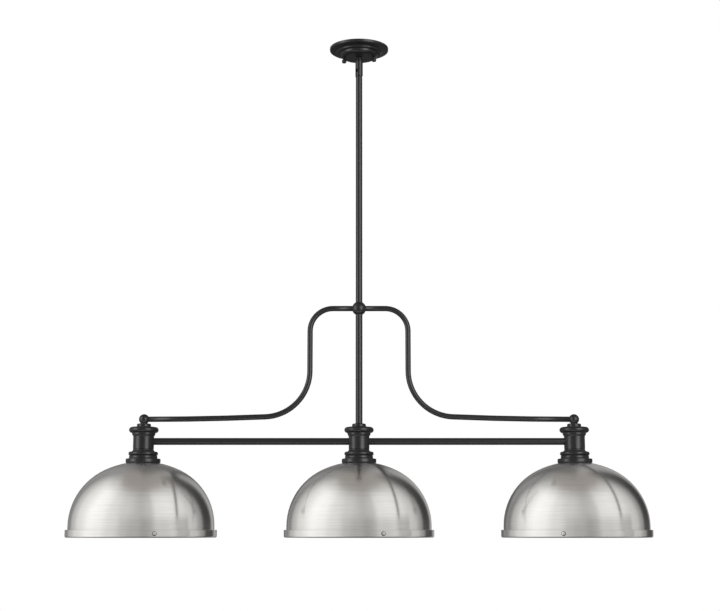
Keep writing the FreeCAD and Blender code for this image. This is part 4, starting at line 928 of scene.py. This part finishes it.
# --- Rim screws and nuts --------------------------------------------------------------
# Three round-headed nickel-plated screws hold each band to its dome, with a cross in each
# head for the driver and a plain hexagon nut inside.
def crossed(surface, top, width, reach, depth):
    """Sink a driver's cross into a screw's head: within half a width of either centre line,
    and within its reach, the face drops by depth, fading out over its edges."""
    points, faces, corner_map = surface
    points = points.copy()
    across, along = np.abs(points[:, 0]) / MM, np.abs(points[:, 1]) / MM
    near, far = np.minimum(across, along), np.maximum(across, along)
    narrow = np.clip((width / 2 - near) / (width * 0.25), 0.0, 1.0)
    short = np.clip((reach - far) / (reach * 0.35), 0.0, 1.0)
    face = points[:, 2] > top * MM
    points[:, 2] -= np.where(face, depth * MM * narrow * short, 0.0)
    return points, faces, corner_map


finish(["rim_nuts"], zinc)
shank_radius, shank, head, edge_height, crown = 1.75, 12.0, 5.2, 1.2, 2.0
rim_thread_start, rim_thread_end, rim_pitch, rim_thread_depth = 0.3, 9.0, 0.7, 0.3
cross_width, cross_reach, cross_depth = 1.0, 2.0, 1.2
face_level = shank + edge_height
head_edge = shank + head + edge_height
# a dark line runs round the head's edge and the foot of its crown
edge_shadow = (head_edge - 0.4, 3.2, 0.2)
fastener_nickel = turned_metal("fastener_nickel", (0.66, 0.64, 0.61), (0.86, 0.84, 0.81),
                               0.2, 0.32, 0.3, 900.0, line=edge_shadow)
crown_bend = (head ** 2 + crown ** 2) / (2 * crown)
# the crown's arc, in steps that close up towards the edge and are fine enough for the cross
crown_rise = [(math.sqrt(crown_bend ** 2 - (rise + crown_bend - crown) ** 2), face_level + rise)
              for rise in crown * np.linspace(0.0, 1.0, 22)[1:-1] ** 0.7]
rim_screw_outline = [(0.0, 0.0), *rungs(shank_radius, rim_thread_start, rim_thread_end, rim_pitch),
                     (shank_radius, shank), (head, shank), (head, face_level), *crown_rise,
                     (0.0, face_level + crown)]
first_heading = 18.1
screw_rise = 9.4
screw_level = rims_low.z + screw_rise * MM
rim_screws = []
for side in (-1, 0, 1):
    turn = first_heading * (-1 if side > 0 else 1)
    for number in range(3):
        screw = threaded(revolve(rim_screw_outline, 64, 0.12), rim_thread_start,
                         rim_thread_end, rim_pitch, rim_thread_depth)
        screw = crossed(screw, face_level, cross_width, cross_reach, cross_depth)
        degrees = turn - 90.0 + 120.0 * number
        outward = about_z(degrees) @ LYING
        start = about_z(degrees) @ np.array(((band_radius - shank) * MM, 0.0, 0.0))
        rim_screws.append(moved(screw, start + (lamp_spacing * side, 0.0, screw_level), outward))
piece("rim_screw_set", rim_screws, fastener_nickel, "nickel_fasteners", "fixture", ["rim_screws"])


# --- Sockets and bulbs ----------------------------------------------------------------
# A glazed porcelain socket under each holder, with its threaded brass shell, and a frosted
# bulb on a threaded aluminium cap.
porcelain = coated("glazed_porcelain", (0.78, 0.77, 0.73), (0.84, 0.83, 0.79), 0.12, 0.22,
                   900.0, 0.00001)
socket_radius, socket_height, socket_bore, socket_depth = 19.0, 48.0, 14.2, 30.0
socket_round, socket_step, socket_bend, neck_level = 1.5, 2.5, 8.0, 42.5
nipple_end, contact_hole = 40.0, 3.6
lamp_piece("porcelain_socket", "lamp_socket", [
    (socket_bore, 0.0), (socket_radius - socket_round, 0.0, socket_round),
    (socket_radius, socket_round), (socket_radius, socket_depth - socket_step),
    (socket_radius - socket_step, socket_depth + socket_step, -socket_bend),
    (socket_radius - socket_step * 2, neck_level),
    (socket_radius - socket_step * 2, socket_height), (nipple_hole, socket_height),
    (nipple_hole, nipple_end), (contact_hole, nipple_end), (contact_hole, socket_depth),
    (socket_bore, socket_depth)], porcelain, "porcelain", 96, 0.5)

brass = turned_metal("shell_brass", (0.62, 0.44, 0.17), (0.83, 0.62, 0.30), 0.2, 0.34, 0.4, 900.0)
aluminium = turned_metal("cap_aluminium", (0.7, 0.7, 0.71), (0.88, 0.88, 0.88), 0.22, 0.36, 0.4,
                         900.0)
bulb_pitch = 3.6
shell_radius, shell_wall, shell_hole, shell_thread_depth = 13.9, 0.5, 5.6, 0.25
cap_radius, cap_mouth, cap_hollow, cap_wall, cap_thread_depth = 13.3, 12.7, 11.4, 1.3, 0.4
cap_cone, contact_foot, contact_radius, contact_height = 4.5, 5.4, 4.4, 1.0
for name, side in lamps:
    low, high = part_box("screw_shell_" + name)
    shell_height = (high.z - low.z) / MM
    outside, inside = (rungs(radius, 0.6, shell_height - 2.5, bulb_pitch)
                       for radius in (shell_radius, shell_radius - shell_wall))
    shell_outline = [
        *outside, (shell_radius, shell_height), (shell_hole, shell_height),
        (shell_hole, shell_height - shell_wall),
        (shell_radius - shell_wall, shell_height - shell_wall), *inside[::-1]]
    shell = threaded(revolve(shell_outline, 96, 0.05), 0.5, shell_height - 2.4, bulb_pitch,
                     shell_thread_depth)
    piece("threaded_shell_" + name, [moved(shell, (lamp_spacing * side, 0.0, low.z))], brass,
          "shell_brass", "fixture", ["screw_shell_" + name])

    low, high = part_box("bulb_cap_" + name)
    cap_height = (high.z - low.z) / MM
    hollow_top = cap_height - 5.0
    cap_outline = [
        (cap_mouth, 0.0), *rungs(cap_radius, 0.5, cap_height - 4.8, bulb_pitch),
        (cap_radius, cap_height - cap_cone), (contact_foot, cap_height - contact_height),
        (contact_radius, cap_height), (0.0, cap_height), (0.0, hollow_top),
        (cap_hollow, hollow_top), (cap_mouth, hollow_top - cap_wall)]
    cap = threaded(revolve(cap_outline, 96, 0.15), 0.5, cap_height - 4.7, bulb_pitch,
                   cap_thread_depth)
    piece("threaded_cap_" + name, [moved(cap, (lamp_spacing * side, 0.0, low.z))], aluminium,
          "cap_aluminium", "fixture", ["bulb_cap_" + name])

# the glass is frosted inside: soft, white and barely see-through
frosted, frosted_tree, frosted_shader = new_material("frosted_glass", (0.93, 0.93, 0.91), 0.3)
frosted_shader.inputs["Transmission Weight"].default_value = 0.2
frosted_shader.inputs["IOR"].default_value = 1.46
frost = noise(frosted_tree, object_place(frosted_tree), 1500.0, 2.0)
frosted_tree.links.new(between(frosted_tree, frost, 0.24, 0.4), frosted_shader.inputs["Roughness"])
glass_radius, glass_neck, shoulder, glass_wall = 30.0, 12.6, 40.0, 1.0
neck_reach, reach = glass_neck + shoulder, glass_radius + shoulder
shoulder_rise = math.sqrt(reach ** 2 - neck_reach ** 2)
glass_low, glass_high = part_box("bulb_glass_centre")
neck_top = (glass_high.z - glass_low.z) / MM
join = (glass_radius * neck_reach / reach, glass_radius + glass_radius * shoulder_rise / reach)
inner = glass_radius - glass_wall
inner_join = (inner * neck_reach / reach, glass_radius + inner * shoulder_rise / reach)
glass_outline = [
    (0.0, 0.0, glass_radius), (glass_radius, glass_radius, glass_radius),
    (*join, -shoulder), (glass_neck, glass_radius + shoulder_rise), (glass_neck, neck_top),
    (glass_neck - glass_wall, neck_top),
    (glass_neck - glass_wall, glass_radius + shoulder_rise, shoulder + glass_wall),
    (*inner_join, -inner), (inner, glass_radius, -inner), (0.0, glass_wall)]
lamp_piece("frosted_bulb", "bulb_glass", glass_outline, frosted, "bulb_glass", 96, 0.2)


# --- Fixings and leads inside the columns ---------------------------------------------
# Threaded nipples, lock nuts, and the plate that clamps each dome to its holder, all zinc
# plated, with one lead down the rods and one from its end to each lamp.
finish(["lamp_nipples", "column_nuts", "retaining_plates"], zinc)
rod_leads = coated("black_lead_sleeve", (0.018, 0.018, 0.018), (0.028, 0.028, 0.028), 0.4, 0.55)
finish(["rod_lead", "lamp_leads"], rod_leads)

# in the photograph no shade mirrors a lamp, a bar, an arm or the column over it
for name in ("spun_dome", "channel_band", "level_bar", "bent_arm", "arm_ball", "top_disc",
             "rolled_flange", "turned_column", "hanging_rod", "middle_ball", "porcelain_socket",
             "threaded_shell", "threaded_cap", "frosted_bulb"):
    for thing in bpy.data.objects:
        if thing.name.startswith(name):
            thing.visible_glossy = False

bpy.context.scene.view_settings.view_transform = "Standard"
